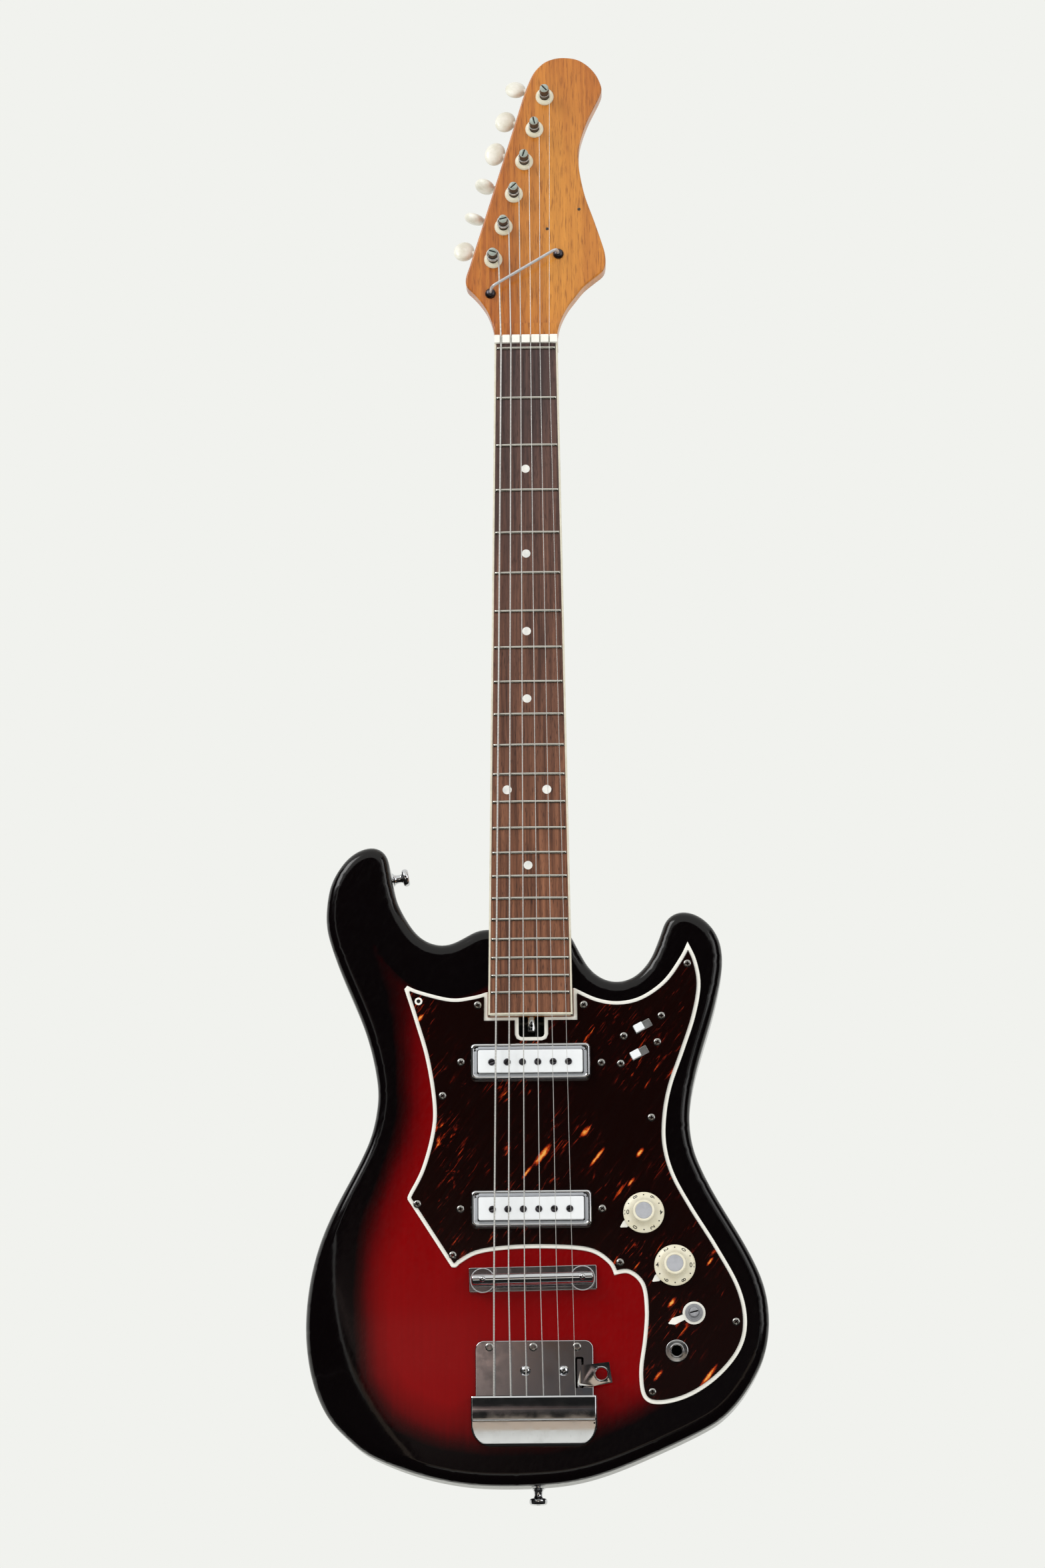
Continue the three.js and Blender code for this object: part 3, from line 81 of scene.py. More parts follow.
BODY_RUN = [
    (29.4, 352.5), (35.3, 338.9), (44.1, 329.7), (53.6, 325.8), (65.2, 327.5), (74.7, 335.3), (81.6, 346.3),
    (85, 356.8), (88.5, 366.5), (96.5, 372), (106.9, 371), (116.6, 364.5), (123.4, 353.8), (125.3, 342.2),
    (124.7, 330.1), (119.9, 307.9), (112.5, 284.4), (105.8, 262.2), (102.2, 237.5), (104.8, 214.4),
    (114.2, 191.7), (126.4, 170.8), (138.7, 150.2), (148.1, 128.4), (151.5, 105.2), (148.1, 81.9),
    (136.7, 59.6), (122, 43), (106, 33), (88.9, 25.3), (48.9, 8.6), (18.4, 1.4), (-18, 0), (-42.8, 1.2),
    (-73.6, 7.6), (-104.1, 19.8), (-120, 32), (-133.1, 46.6), (-142.6, 68.8), (-146.7, 93.8), (-146.2, 117.7),
    (-142.3, 141.2), (-135, 163.9), (-124.4, 185.4), (-112.3, 206.4), (-103.4, 227.3), (-99.5, 252),
    (-102.4, 275.3), (-108.8, 297.8), (-118.6, 321), (-127.7, 342.3), (-133.9, 365.9), (-132, 389.7),
    (-127, 401.1), (-120.5, 410), (-112.5, 415.8), (-103, 418), (-96.5, 415.5), (-92.8, 408.5), (-91, 394.8),
    (-88.1, 382.2), (-83.3, 372), (-76, 360.5), (-68.5, 354.1), (-56.6, 351), (-45.2, 354.9), (-36.5, 361.5),
]
GUARD_RUNS = [
    [(28.8, 320.8), (43.6, 313.9), (57.9, 311.8), (72.2, 315.2), (86.7, 325.5), (97.7, 340.7), (102.8, 350.9)],
    [(102.8, 350.9), (108.4, 338.2), (110.8, 321.8), (107.1, 301.3), (99.4, 278.4), (91.2, 255.6),
     (87.4, 236.4), (87.1, 217.3), (92.1, 198.2), (103.5, 176.7), (118.5, 152.2), (132.6, 125.6),
     (137.1, 103.3), (132.6, 84.6), (118.2, 67.3), (99.4, 55.1), (80.6, 50.6), (70.2, 54.9), (67.8, 71.2),
     (70.6, 92.2), (71.9, 110), (69.9, 126.2), (61.8, 134.1), (52.6, 133.2)],
    [(52.6, 133.2), (48.9, 140.6), (37.2, 148.2), (16, 150.6), (-12.3, 150.6), (-34.7, 147.7), (-46.8, 141.4)],
    [(-46.8, 141.4), (-49.2, 139.2), (-52, 139.4)],
    [(-52, 139.4), (-78.6, 180.8)],
    [(-78.6, 180.8), (-80.4, 183.9), (-79.2, 187.4)],
    [(-79.2, 187.4), (-71.2, 203.4), (-65, 226.1), (-63.9, 245), (-68.3, 274.2), (-75.9, 300.9), (-82.4, 321.3)],
    [(-82.4, 321.3), (-80.4, 323.6)],
    [(-80.4, 323.6), (-72.3, 320), (-52, 314.9), (-37.7, 316.2), (-28.8, 318.6)],
    [(-28.8, 318.6), (28.8, 320.8)],
]
HEAD_RUN = [
    (21.2, 13.4), (22.4, 19.7), (24.7, 26), (28.5, 33.1), (33.4, 39.7), (39.1, 46.8), (45.9, 52.6),
    (52.4, 58.2), (54.2, 64.4), (53.6, 71.6), (51.4, 79.6), (46.3, 95.6), (40.6, 112.5), (37.2, 129.2),
    (36.5, 139.6), (37.1, 148.5), (39.3, 157.3), (43.2, 167.8), (47.8, 177.4), (50.9, 183.8), (52.7, 189.4),
    (51.8, 194.3), (48.8, 200.9), (43.6, 207.1), (36.8, 211.7), (29.2, 213.4), (21.6, 213.2), (14, 210.5),
    (7.9, 204.9), (4, 198.4), (-0.6, 186.3), (-6, 168.6),
]
HEAD_LEFT_RUN = [
    (-38.4, 62), (-40.4, 56), (-40.9, 51.6), (-39.7, 47.4), (-35.9, 43.4), (-31.5, 38.3), (-27, 31.6),
    (-24, 24.4), (-22.2, 17.3), (-21.5, 13.4),
]


# Outlines

def spline(run, step):
    """A uniform Catmull-Rom curve through the run, cut into steps of nearly equal length, without its last point."""
    run = np.array(run, float)
    if len(run) == 2:
        count = max(int(np.linalg.norm(run[1] - run[0]) / step), 1)
        return run[0] + (run[1] - run[0]) * (np.arange(count) / count)[:, None]
    index = np.arange(len(run) - 1)
    p = [run[np.clip(index + k, 0, len(run) - 1)][:, None] for k in (-1, 0, 1, 2)]
    t = np.linspace(0, 1, 24, endpoint=False)[None, :, None]
    v0, v1 = (p[2] - p[0]) / 2, (p[3] - p[1]) / 2
    fine = (2 * p[1] - 2 * p[2] + v0 + v1) * t ** 3 + (-3 * p[1] + 3 * p[2] - 2 * v0 - v1) * t ** 2 + v0 * t + p[1]
    fine = np.concatenate([fine.reshape(-1, 2), run[-1:]])
    length = np.concatenate([[0], np.cumsum(np.linalg.norm(np.diff(fine, axis=0), axis=1))])
    even = np.linspace(0, length[-1], max(math.ceil(length[-1] / step), 2) + 1)[:-1]
    return np.stack([np.interp(even, length, fine[:, k]) for k in (0, 1)], 1)


def loop_of(runs, step):
    """One counterclockwise closed outline from its runs, in x and z."""
    points = np.concatenate([spline(run, step) for run in runs])
    ahead = np.roll(points, -1, 0)
    area = np.sum(points[:, 0] * ahead[:, 1] - ahead[:, 0] * points[:, 1])
    return points if area > 0 else points[::-1]


def rounded_box(left, right, bottom, top, corner, count=4, low=None):
    """A rectangle with a quarter circle of count points at each corner; low is the radius of the two lower ones."""
    low = low or corner
    corners = [(right - low, bottom + low, -90, low), (right - corner, top - corner, 0, corner),
               (left + corner, top - corner, 90, corner), (left + low, bottom + low, 180, low)]
    angles = np.radians(np.linspace(0, 90, count))
    return np.concatenate([
        np.stack([x + r * np.cos(angles + math.radians(a)), z + r * np.sin(angles + math.radians(a))], 1)
        for x, z, a, r in corners])


def circle(x, z, radius, count=32):
    """An outline whose points are the radius times cosine and sine from the middle."""
    angles = np.linspace(0, 2 * math.pi, count, endpoint=False)
    return np.stack([x + radius * np.cos(angles), z + radius * np.sin(angles)], 1)


def offset(loop, distance):
    """Each side of the outline moved inwards, its corners on the bisectors."""
    def normal(a, b):
        side = b - a
        turned = np.stack([-side[:, 1], side[:, 0]], 1)
        return turned / np.maximum(np.linalg.norm(turned, axis=1, keepdims=True), 1e-9)
    before, after = normal(np.roll(loop, 1, 0), loop), normal(loop, np.roll(loop, -1, 0))
    return loop + (before + after) * distance / np.maximum(1 + np.sum(before * after, 1, keepdims=True), 0.25)


def dense(loop, step=2.0):
    """The outline with points added on its long sides."""
    ahead = np.roll(loop, -1, 0)
    count = np.maximum(np.ceil(np.hypot(*(ahead - loop).T) / step - 0.2).astype(int), 1)
    side = np.repeat(np.arange(len(loop)), count)
    share = (np.arange(len(side)) - np.repeat(np.cumsum(count) - count, count)) / count[side]
    return loop[side] + (ahead - loop)[side] * share[:, None]


def edge_distance(points, loop):
    """Distance from each point to the nearest side of the closed outline."""
    best = np.full(len(points), 1e9)
    ends = np.roll(loop, -1, 0)
    for a, b in zip(loop, ends):
        side = b - a
        share = np.clip(((points - a) @ side) / max(side @ side, 1e-12), 0, 1)
        best = np.minimum(best, np.hypot(*(points - a - share[:, None] * side).T))
    return best


def inside(points, loop):
    """True for points within the outline, by counting the sides that a ray along x crosses."""
    result = np.zeros(len(points), bool)
    for (x0, z0), (x1, z1) in zip(loop, np.roll(loop, -1, 0)):
        crosses = (z0 > points[:, 1]) != (z1 > points[:, 1])
        with np.errstate(divide="ignore", invalid="ignore"):
            at = x0 + (points[:, 1] - z0) * (x1 - x0) / (z1 - z0)
        result ^= crosses & (points[:, 0] < at)
    return result


def spread(x, y, z):
    """Points in space from their coordinates, where a single number holds for all of them."""
    return np.stack(np.broadcast_arrays(x, y, z), -1)


def raised(loop, y, share=1.0):
    """An outline as points in space at the height y, scaled by a share."""
    return np.insert(loop * share, 1, y, 1)


# Places, each a 4 by 4 matrix

def cos_sin(degrees):
    """Cosine and sine of an angle in degrees."""
    return math.cos(math.radians(degrees)), math.sin(math.radians(degrees))


def place_at(x, y, z, axes=None):
    """A place with the world's axes or its own three."""
    place = np.eye(4)
    if axes is not None:
        place[:3, :3] = np.stack(axes, 1)
    place[:3, 3] = x, y, z
    return place


def turned_at(x, z, degrees):
    """A place turned about Y, from X towards Z."""
    c, s = cos_sin(degrees)
    return place_at(x, 0, z, ((c, 0, s), (0, 1, 0), (-s, 0, c)))


def moved(form, place):
    """A form carried to a place."""
    points, faces = form
    return np.asarray(points) @ place[:3, :3].T + place[:3, 3], faces


def moved_loop(loop, place):
    """An outline carried to a place."""
    return moved((raised(loop, 0), None), place)[0][:, [0, 2]]


# Meshes: a form is its points in millimetres and its faces

WELD, SLIVER = 1e-6, 1e-7  # metres
SHARP = 35  # degrees


def make(name, form, material, stands_for=None, body="guitar", angle=SHARP):
    """A mesh object in metres from a form in millimetres. It rides on a body and may stand for a CAD node."""
    points, faces = form
    mesh = bpy.data.meshes.new(name)
    mesh.from_pydata((np.asarray(points, float) * 0.001).tolist(), [], [list(map(int, face)) for face in faces])
    mesh.update()
    piece = bpy.data.objects.new(name, mesh)
    scene.collection.objects.link(piece)
    finish(piece, material, stands_for, body, angle)
    return piece


def finish(piece, material, stands_for, body, angle=SHARP):
    mesh = piece.data
    work = bmesh.new()
    work.from_mesh(mesh)
    bmesh.ops.remove_doubles(work, verts=work.verts, dist=WELD)
    bmesh.ops.dissolve_degenerate(work, edges=work.edges, dist=SLIVER)
    bmesh.ops.recalc_face_normals(work, faces=work.faces)
    work.to_mesh(mesh)
    work.free()
    mesh.polygons.foreach_set("use_smooth", np.ones(len(mesh.polygons), bool))
    mesh.set_sharp_from_angle(angle=math.radians(angle))
    mesh.materials.clear()
    mesh.materials.append(material)
    flats = piece.modifiers.new("flats", "WEIGHTED_NORMAL")
    flats.keep_sharp = True
    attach(piece, body)
    if stands_for:
        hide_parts(stands_for)


def grid_faces(rows, columns, wrap=True):
    """Quads between neighbouring rows and columns; wrap closes each row on itself."""
    r, c = np.meshgrid(np.arange(rows - 1), np.arange(columns if wrap else columns - 1), indexing="ij")
    near, far, ahead = r * columns, (r + 1) * columns, (c + 1) % columns
    return np.stack([near + c, near + ahead, far + ahead, far + c], -1).reshape(-1, 4).tolist()


def lofted(rings):
    """Closed form through equal rings of points, with a fan over each end. Returns points and faces."""
    rings = np.asarray(rings, float)
    rows, columns = rings.shape[:2]
    points = np.concatenate([rings.reshape(-1, 3), rings[:1].mean(1), rings[-1:].mean(1)])
    c, base = np.arange(columns), (rows - 1) * columns
    first, last = np.full(columns, rows * columns), np.full(columns, rows * columns + 1)
    ends = [np.stack([first, (c + 1) % columns, c], 1), np.stack([last, base + c, base + (c + 1) % columns], 1)]
    return points, grid_faces(rows, columns) + np.concatenate(ends).tolist()


def lathe(profile, place=np.eye(4), sides=64):
    """The profile of [radius, y] turned about Y: x is radius times cosine and z radius times sine."""
    radius, y = np.array(profile, float).T[:, :, None]
    angle = np.linspace(0, 2 * math.pi, sides, endpoint=False)
    ring = spread(radius * np.cos(angle), y, radius * np.sin(angle))
    return moved((ring.reshape(-1, 3), grid_faces(len(profile), sides)), place)


def along_x(profile, sides=32):
    """A turned form whose profile of [x, radius] runs along X."""
    return lathe([[r, x] for x, r in profile], place_at(0, 0, 0, ((0, 1, 0), (1, 0, 0), (0, 0, 1))), sides)


OBLIQUE = [0.31, 0.17, 0.93]  # a direction along which no path starts


def tube(path, radius, sides=12):
    """A round section carried along a path on a frame that turns with it and never twists: at each station the side
    before, less its part along the path."""
    path = np.asarray(path, float)
    ahead = np.gradient(path, axis=0)
    ahead /= np.linalg.norm(ahead, axis=1, keepdims=True)
    side, across = np.cross(ahead[0], OBLIQUE), []
    for t in ahead:
        side = side - t * (side @ t)
        side /= np.linalg.norm(side)
        across.append(side.copy())
    across = np.array(across)
    up = np.cross(ahead, across)
    angle = np.linspace(0, 2 * math.pi, sides, endpoint=False)[None, :, None]
    return lofted(path[:, None] + radius * (np.cos(angle) * across[:, None] + np.sin(angle) * up[:, None]))


def combine(*forms):
    """Several (points, faces) forms as one."""
    points, faces, count = [], [], 0
    for p, f in forms:
        points.append(np.asarray(p, float))
        faces += [[count + i for i in face] for face in f]
        count += len(p)
    return np.concatenate(points), faces


def face_field(loop, holes, rings, spacing, y_of, extra=()):
    """A face over the outline as a height field: y_of(points, distance to the rim), or one number, gives the y.
    Points lie on the outline, on copies of it moved inwards and on a grid between them, and extra ones are kept."""
    groups = [loop] + list(holes)
    for d in rings:
        ring = offset(loop, d)
        ring = ring[edge_distance(ring, loop) > d - 0.04]
        groups.append(ring)
    low, high = loop.min(0), loop.max(0)
    x, z = np.meshgrid(np.arange(low[0], high[0], spacing), np.arange(low[1], high[1], spacing))
    fill = np.stack([x.ravel(), z.ravel()], 1)
    fill = fill[inside(fill, loop)]
    reach = (rings[-1] if rings else 0) + spacing * 0.6
    fill = fill[edge_distance(fill, loop) > reach]
    for hole in holes:
        fill = fill[edge_distance(fill, hole) > spacing * 0.5]
    if len(extra):
        fill = fill[np.min(np.hypot(*(fill[:, None] - extra[None]).transpose(2, 0, 1)), 1) > spacing * 0.6]
        groups.append(extra)
    groups.append(fill)
    flat = np.concatenate(groups)
    edges, start = [], 0
    for group in [loop] + list(holes):
        i = np.arange(len(group))
        edges += np.stack([start + i, start + (i + 1) % len(group)], 1).tolist()
        start += len(group)
    verts, _, faces, *_ = delaunay_2d_cdt([Vector(p) for p in flat], edges, [], 0, 1e-4)
    flat = np.array([tuple(v) for v in verts])
    faces = np.array(faces)
    middle = flat[faces].mean(1)
    keep = inside(middle, loop)
    for hole in holes:
        keep &= ~inside(middle, hole)
    faces = faces[keep]
    return raised(flat, y_of(flat, edge_distance(flat, loop)) if callable(y_of) else y_of), faces.tolist()


def wall(loop, y0, y1):
    """The side of a slab: the outline carried from y0 to y1, which may change along it."""
    return np.concatenate([raised(loop, y0), raised(loop, y1)]), grid_faces(2, len(loop))


def rounded(rim, radius):
    """Depth of a quarter-round edge at a distance from the rim: the radius, less the root of its square less the
    square of what is left up to the radius."""
    inner = np.clip(radius - rim, 0, radius)
    return radius - np.sqrt(np.maximum(radius ** 2 - inner ** 2, 0))


EDGE_RINGS = (0.06, 0.25, 0.55, 1.0, 1.3)  # where points lie on a rounded edge, in shares of its radius


def slab(loop, front, back, edge, holes=(), spacing=8.0, back_edge=None):
    """A plate with a rounded front edge, a plain or rounded back one, and holes with straight walls."""
    back_edge = edge if back_edge is None else back_edge
    loop, holes = dense(loop), [dense(hole) for hole in holes]
    faces = [face_field(loop, holes, [radius * k for k in EDGE_RINGS if radius], spacing,
                        lambda p, rim: y + way * rounded(rim, radius))
             for y, radius, way in ((front, edge, 1), (back, back_edge, -1))]
    return combine(*faces, wall(loop, front + edge, back - back_edge), *(wall(hole, front, back) for hole in holes))


# Materials

def tint(code):
    """An sRGB hex colour as linear red, green, blue and alpha."""
    value = np.array([int(code[i:i + 2], 16) for i in (1, 3, 5)]) / 255
    linear = np.where(value <= 0.04045, value / 12.92, ((value + 0.055) / 1.055) ** 2.4)
    return (*linear.tolist(), 1.0)


def feed(node, inputs=(), **sockets):
    """Gives a node's inputs their links or values, with colours as sRGB hex codes. An underscore in a socket's name
    stands for a space."""
    for key, value in {**dict(inputs), **{key.replace("_", " "): value for key, value in sockets.items()}}.items():
        if isinstance(value, bpy.types.NodeSocket):
            node.id_data.links.new(value, node.inputs[key])
        else:
            node.inputs[key].default_value = tint(value) if isinstance(value, str) else value


def put(tree, kind, inputs=(), size=None, turn=(0, 0, 0), shift=(0, 0, 0), stops=(), out=0, **settings):
    """Adds a node with its settings, colour stops and inputs, each a value or a link, and returns one of its outputs.
    A size in millimetres gives it the object's coordinates divided by that size along each axis of a turned frame,
    and a scale of 1."""
    node, inputs = tree.nodes.new(kind), dict(inputs)
    if size:
        place = {"Location": shift, "Rotation": turn, "Scale": (np.broadcast_to(size, 3) / 1000).tolist(),
                 "Vector": put(tree, "ShaderNodeTexCoord", out="Object")}
        inputs["Vector"] = put(tree, "ShaderNodeMapping", place, vector_type="TEXTURE")
        if "Scale" in node.inputs:
            inputs.setdefault("Scale", 1)
    if stops:
        band = node.color_ramp
        while len(band.elements) < len(stops):
            band.elements.new(0.5)
        for element, (position, code) in zip(band.elements, stops):
            element.position, element.color = position, tint(code)
    for key, value in settings.items():
        setattr(node, key, value)
    feed(node, inputs)
    return node.outputs[out] if len(node.outputs) else node


def surface(name, **sockets):
    """A new material, its Principled shader with the sockets set, and put for its node tree."""
    material = bpy.data.materials.new(name)
    material.use_nodes = True
    shader = material.node_tree.nodes["Principled BSDF"]
    feed(shader, **sockets)
    return material, shader, partial(put, material.node_tree)


NOISE, RAMP, MIX, RANGE, MATH, BUMP = (f"ShaderNode{kind}" for kind in (
    "TexNoise", "ValToRGB", "Mix", "MapRange", "Math", "Bump"))
BLEND = {"data_type": "RGBA", "out": 2}


def burst_lacquer():
    """Polyester lacquer over a solid wood body: see-through red in the middle, sprayed black at the rim, with a thick
    clear coat that mirrors the studio and shows fine swirl marks and small chips down to the gold undercoat."""
    material, shader, add = surface(
        "burst_lacquer_on_solid_wood", Roughness=0.16, Specular_IOR_Level=0.32, Coat_Weight=0.16, Coat_Roughness=0.04)
    rim = add("ShaderNodeAttribute", attribute_name="rim", out="Fac")
    cloud = add(NOISE, {"Detail": 3}, size=38)
    soft = add(MATH, {0: cloud, 1: 0.16, 2: rim}, operation="MULTIPLY_ADD")
    shade = add(RAMP, {"Fac": soft}, stops=[
        (0.0, "#040303"), (0.34, "#050303"), (0.47, "#1b0203"), (0.60, "#440104"), (0.76, "#660103"), (1.0, "#7e0003")])
    grain = add(NOISE, {"Detail": 4}, size=(2.2, 2.2, 60))
    streak = add(MIX, {0: grain, 6: "#520001", 7: "#8a0003"}, **BLEND)
    streaked = add(MIX, {0: 0.25, 6: shade, 7: streak}, **BLEND)
    black = add(RANGE, {"Value": soft, 1: 0.34, 2: 0.62, 3: 1.0, 4: 0.0})
    shade = add(MIX, {0: black, 6: streaked, 7: "#060304"}, **BLEND)
    spots = add("ShaderNodeTexVoronoi", size=46, shift=(0.013, 0, 0.021))
    chips = add(MATH, {0: spots, 1: 0.018}, operation="LESS_THAN")
    swirl = add(NOISE, {"Detail": 6, "Roughness": 0.7}, size=(1.4, 1.4, 9), turn=(0.3, 0.5, 0.2))
    wave = add(NOISE, {"Detail": 2}, size=(14, 14, 40))
    feed(shader, Base_Color=add(MIX, {0: chips, 6: shade, 7: "#9a6a34"}, **BLEND),
         Roughness=add(RANGE, {"Value": swirl, 1: 0.4, 2: 0.75, 3: 0.1, 4: 0.24}),
         Normal=add(BUMP, {"Height": wave, "Strength": 0.12, "Distance": 0.00005}))
    return material


AMBER = [(6.7, 210.5, 3.6, 15), (34.4, 225.5, 3.4, 8), (42, 209, 2.0, 13), (-71.9, 301.8, 2.4, 5), (70, 212, 2.4, 7),
         (112, 68, 2.6, 15), (80, 69, 2.2, 8), (-3, 200, 2.0, 9), (89, 115, 2.6, 8), (64, 193, 1.8, 6),
         (114, 141, 1.8, 6)]


def tortoiseshell():
    """Celluloid sheet pressed to look like tortoiseshell: near-black brown with sparse orange flecks that lean up to
    the right and a few amber clouds, under a polished surface with fine scratches."""
    material, shader, add = surface("tortoiseshell_celluloid", Roughness=0.12, IOR=1.5)
    lean = (0, math.radians(38), 0)
    fleck = add(NOISE, {"Detail": 3, "Roughness": 0.6, "Distortion": 0.5}, size=(2.1, 6, 14), turn=lean)
    patch = add(NOISE, {"Detail": 2}, size=(26, 26, 40), turn=lean)
    near = add(RANGE, {"Value": patch, 1: 0.40, 2: 0.66})
    flecks = add(MATH, {0: add(RANGE, {"Value": fleck, 1: 0.56, 2: 0.80}), 1: near}, operation="MULTIPLY")
    glow = add(NOISE, {"Detail": 4, "Roughness": 0.65, "Distortion": 0.8}, size=(11, 11, 22), turn=lean)
    cloud = add(MATH, {0: add(RANGE, {"Value": glow, 1: 0.64, 2: 0.76}), 1: near}, operation="MULTIPLY")
    mask = add(MATH, {0: cloud, 1: 0.8, 2: flecks}, operation="MULTIPLY_ADD")
    ragged = add(NOISE, {"Detail": 4, "Roughness": 0.7}, size=(3, 3, 7), turn=lean)
    for x, z, across, along in AMBER:
        spot = add("ShaderNodeTexGradient", size=(across, 9, along), turn=lean, gradient_type="SPHERICAL", out=1,
                   shift=(x / 1000, GUARD_TOP / 1000, z / 1000))
        torn = add(MATH, {0: spot, 1: ragged, 2: -0.16}, operation="MULTIPLY_ADD", use_clamp=True)
        mask = add(MATH, {0: torn, 1: 3.4, 2: mask}, operation="MULTIPLY_ADD", use_clamp=True)
    shade = add(RAMP, {"Fac": mask}, stops=[
        (0.0, "#110302"), (0.12, "#230503"), (0.26, "#571206"), (0.45, "#98290a"), (0.65, "#c95a16"), (1.0, "#e9a650")])
    scratch = add(NOISE, {"Detail": 5, "Roughness": 0.7}, size=(0.8, 0.8, 22), turn=(0, 0.6, 0))
    feed(shader, Base_Color=shade, Roughness=add(RANGE, {"Value": scratch, 1: 0.35, 2: 0.8, 3: 0.07, 4: 0.22}))
    return material


def mahogany():
    """Quarter-cut mahogany with dark pores along the grain, golden in the middle of the head, under clear gloss
    lacquer."""
    material, shader, add = surface("lacquered_mahogany", Roughness=0.24, Coat_Weight=0.2, Coat_Roughness=0.05)
    stripes = add(NOISE, {"Detail": 5, "Roughness": 0.6, "Distortion": 0.3}, size=(3.2, 12, 120))
    wood = add(RAMP, {"Fac": stripes}, stops=[(0.25, "#823f15"), (0.45, "#b06425"), (0.6, "#c87a2f"), (0.8, "#dc933e")])
    glow = add("ShaderNodeTexGradient", size=(42, 80, 150), shift=(0.024, -0.019, 0.856), gradient_type="SPHERICAL",
               out=1)
    share = add(RANGE, {"Value": glow, 1: 0.0, 2: 0.7, 3: 0.0, 4: 0.55})
    gold = add(MIX, {0: share, 6: wood, 7: "#e09d42"}, **BLEND)
    bands = add(NOISE, {"Detail": 3}, size=(11, 30, 260))
    band = add(RANGE, {"Value": bands, 1: 0.35, 2: 0.65, 3: 0.0, 4: 0.35})
    shade = add(MIX, {0: band, 6: gold, 7: "#a0521c"}, **BLEND)
    pore = add(NOISE, {"Detail": 3, "Roughness": 0.6}, size=(0.9, 0.9, 13))
    pores = add(RANGE, {"Value": pore, 1: 0.52, 2: 0.68, 3: 0.0, 4: 0.65})
    feed(shader, Base_Color=add(MIX, {0: pores, 6: shade, 7: "#6a3212"}, **BLEND),
         Normal=add(BUMP, {"Height": pore, "Strength": 0.08, "Distance": 0.00005}))
    return material


def rosewood():
    """Oiled rosewood: brown with darker and redder streaks along the board, greyer towards the nut, with open pores
    and a dull sheen."""
    material, shader, add = surface("oiled_rosewood", Roughness=0.42)
    streak = add(NOISE, {"Detail": 6, "Roughness": 0.65, "Distortion": 0.5}, size=(2.6, 8, 95))
    warm = add(RAMP, {"Fac": streak}, stops=[
        (0.25, "#3a2118"), (0.42, "#603825"), (0.55, "#7f4f36"), (0.68, "#986346"), (0.85, "#b07c5b")])
    cool = add(RAMP, {"Fac": streak}, stops=[
        (0.25, "#2c2123"), (0.42, "#41302f"), (0.55, "#543c38"), (0.68, "#664941"), (0.85, "#7d5b4e")])
    height = add("ShaderNodeSeparateXYZ", size=1000, out="Z")
    shade = add(MIX, {0: add(RANGE, {"Value": height, 1: 0.4, 2: 0.72}), 6: warm, 7: cool}, **BLEND)
    pore = add(NOISE, {"Detail": 2, "Roughness": 0.5}, size=(0.45, 0.45, 6))
    pores = add(RANGE, {"Value": pore, 1: 0.58, 2: 0.7, 3: 0.0, 4: 0.8})
    feed(shader, Base_Color=add(MIX, {0: pores, 6: shade, 7: "#241210"}, **BLEND),
         Normal=add(BUMP, {"Height": pore, "Strength": 0.3, "Distance": 0.00006}))
    return material


def moulded(name, code, dark, rough, grime):
    """Moulded plastic of one colour, a little darker and duller in blotches where hands have rubbed it."""
    material, shader, add = surface(name, IOR=1.49)
    blotch = add(NOISE, {"Detail": 4, "Roughness": 0.6}, size=7)
    share = add(RANGE, {"Value": blotch, 1: 0.4, 2: 0.75, 3: 0.0, 4: grime})
    feed(shader, Base_Color=add(MIX, {0: share, 6: code, 7: dark}, **BLEND),
         Roughness=add(RANGE, {"Value": blotch, 1: 0.3, 2: 0.8, 3: rough, 4: rough + 0.15}))
    return material


def plated(name, code, rough, haze=0.12, spots="#6d6258"):
    """Plated metal: a mirror with faint cloudy haze, and small dull spots where the plating has aged."""
    material, shader, add = surface(name, Metallic=1.0)
    cloud = add(NOISE, {"Detail": 5, "Roughness": 0.6}, size=9)
    pits = add(NOISE, {"Detail": 3, "Roughness": 0.6}, size=1.1)
    share = add(RANGE, {"Value": pits, 1: 0.66, 2: 0.78, 3: 0.0, 4: 0.6})
    feed(shader, Base_Color=add(MIX, {0: share, 6: code, 7: spots}, **BLEND),
         Roughness=add(RANGE, {"Value": cloud, 1: 0.35, 2: 0.8, 3: rough, 4: rough + haze}))
    return material


def wound_steel():
    """Nickel steel wire wound on a core: fine rings across the string, in light and dark bands that are a painted
    highlight on each turn and painted shade between the turns, with a bump. The real ring is a fifth of a millimetre,
    too fine to show, so it is drawn 0.5 mm wide."""
    material, shader, add = surface("wound_nickel_wire", Metallic=0.45, Roughness=0.34)
    rings = add("ShaderNodeTexWave", {"Scale": 0.32}, size=1, wave_type="BANDS", bands_direction="Z", out="Fac")
    feed(shader, Base_Color=add(MIX, {0: rings, 6: "#a8a6a2", 7: "#efeeeb"}, **BLEND),
         Normal=add(BUMP, {"Height": rings, "Strength": 0.5, "Distance": 0.00008}))
    return material


def plain(name, code, rough, metallic, speck):
    """A small even part, with a fine speckle so that it isn't one flat tone."""
    material, shader, add = surface(name, Roughness=rough, Metallic=metallic)
    grain = add(NOISE, {"Detail": 4, "Roughness": 0.6}, size=1.6)
    feed(shader, Base_Color=add(MIX, {0: grain, 6: code, 7: speck}, **BLEND))
    return material


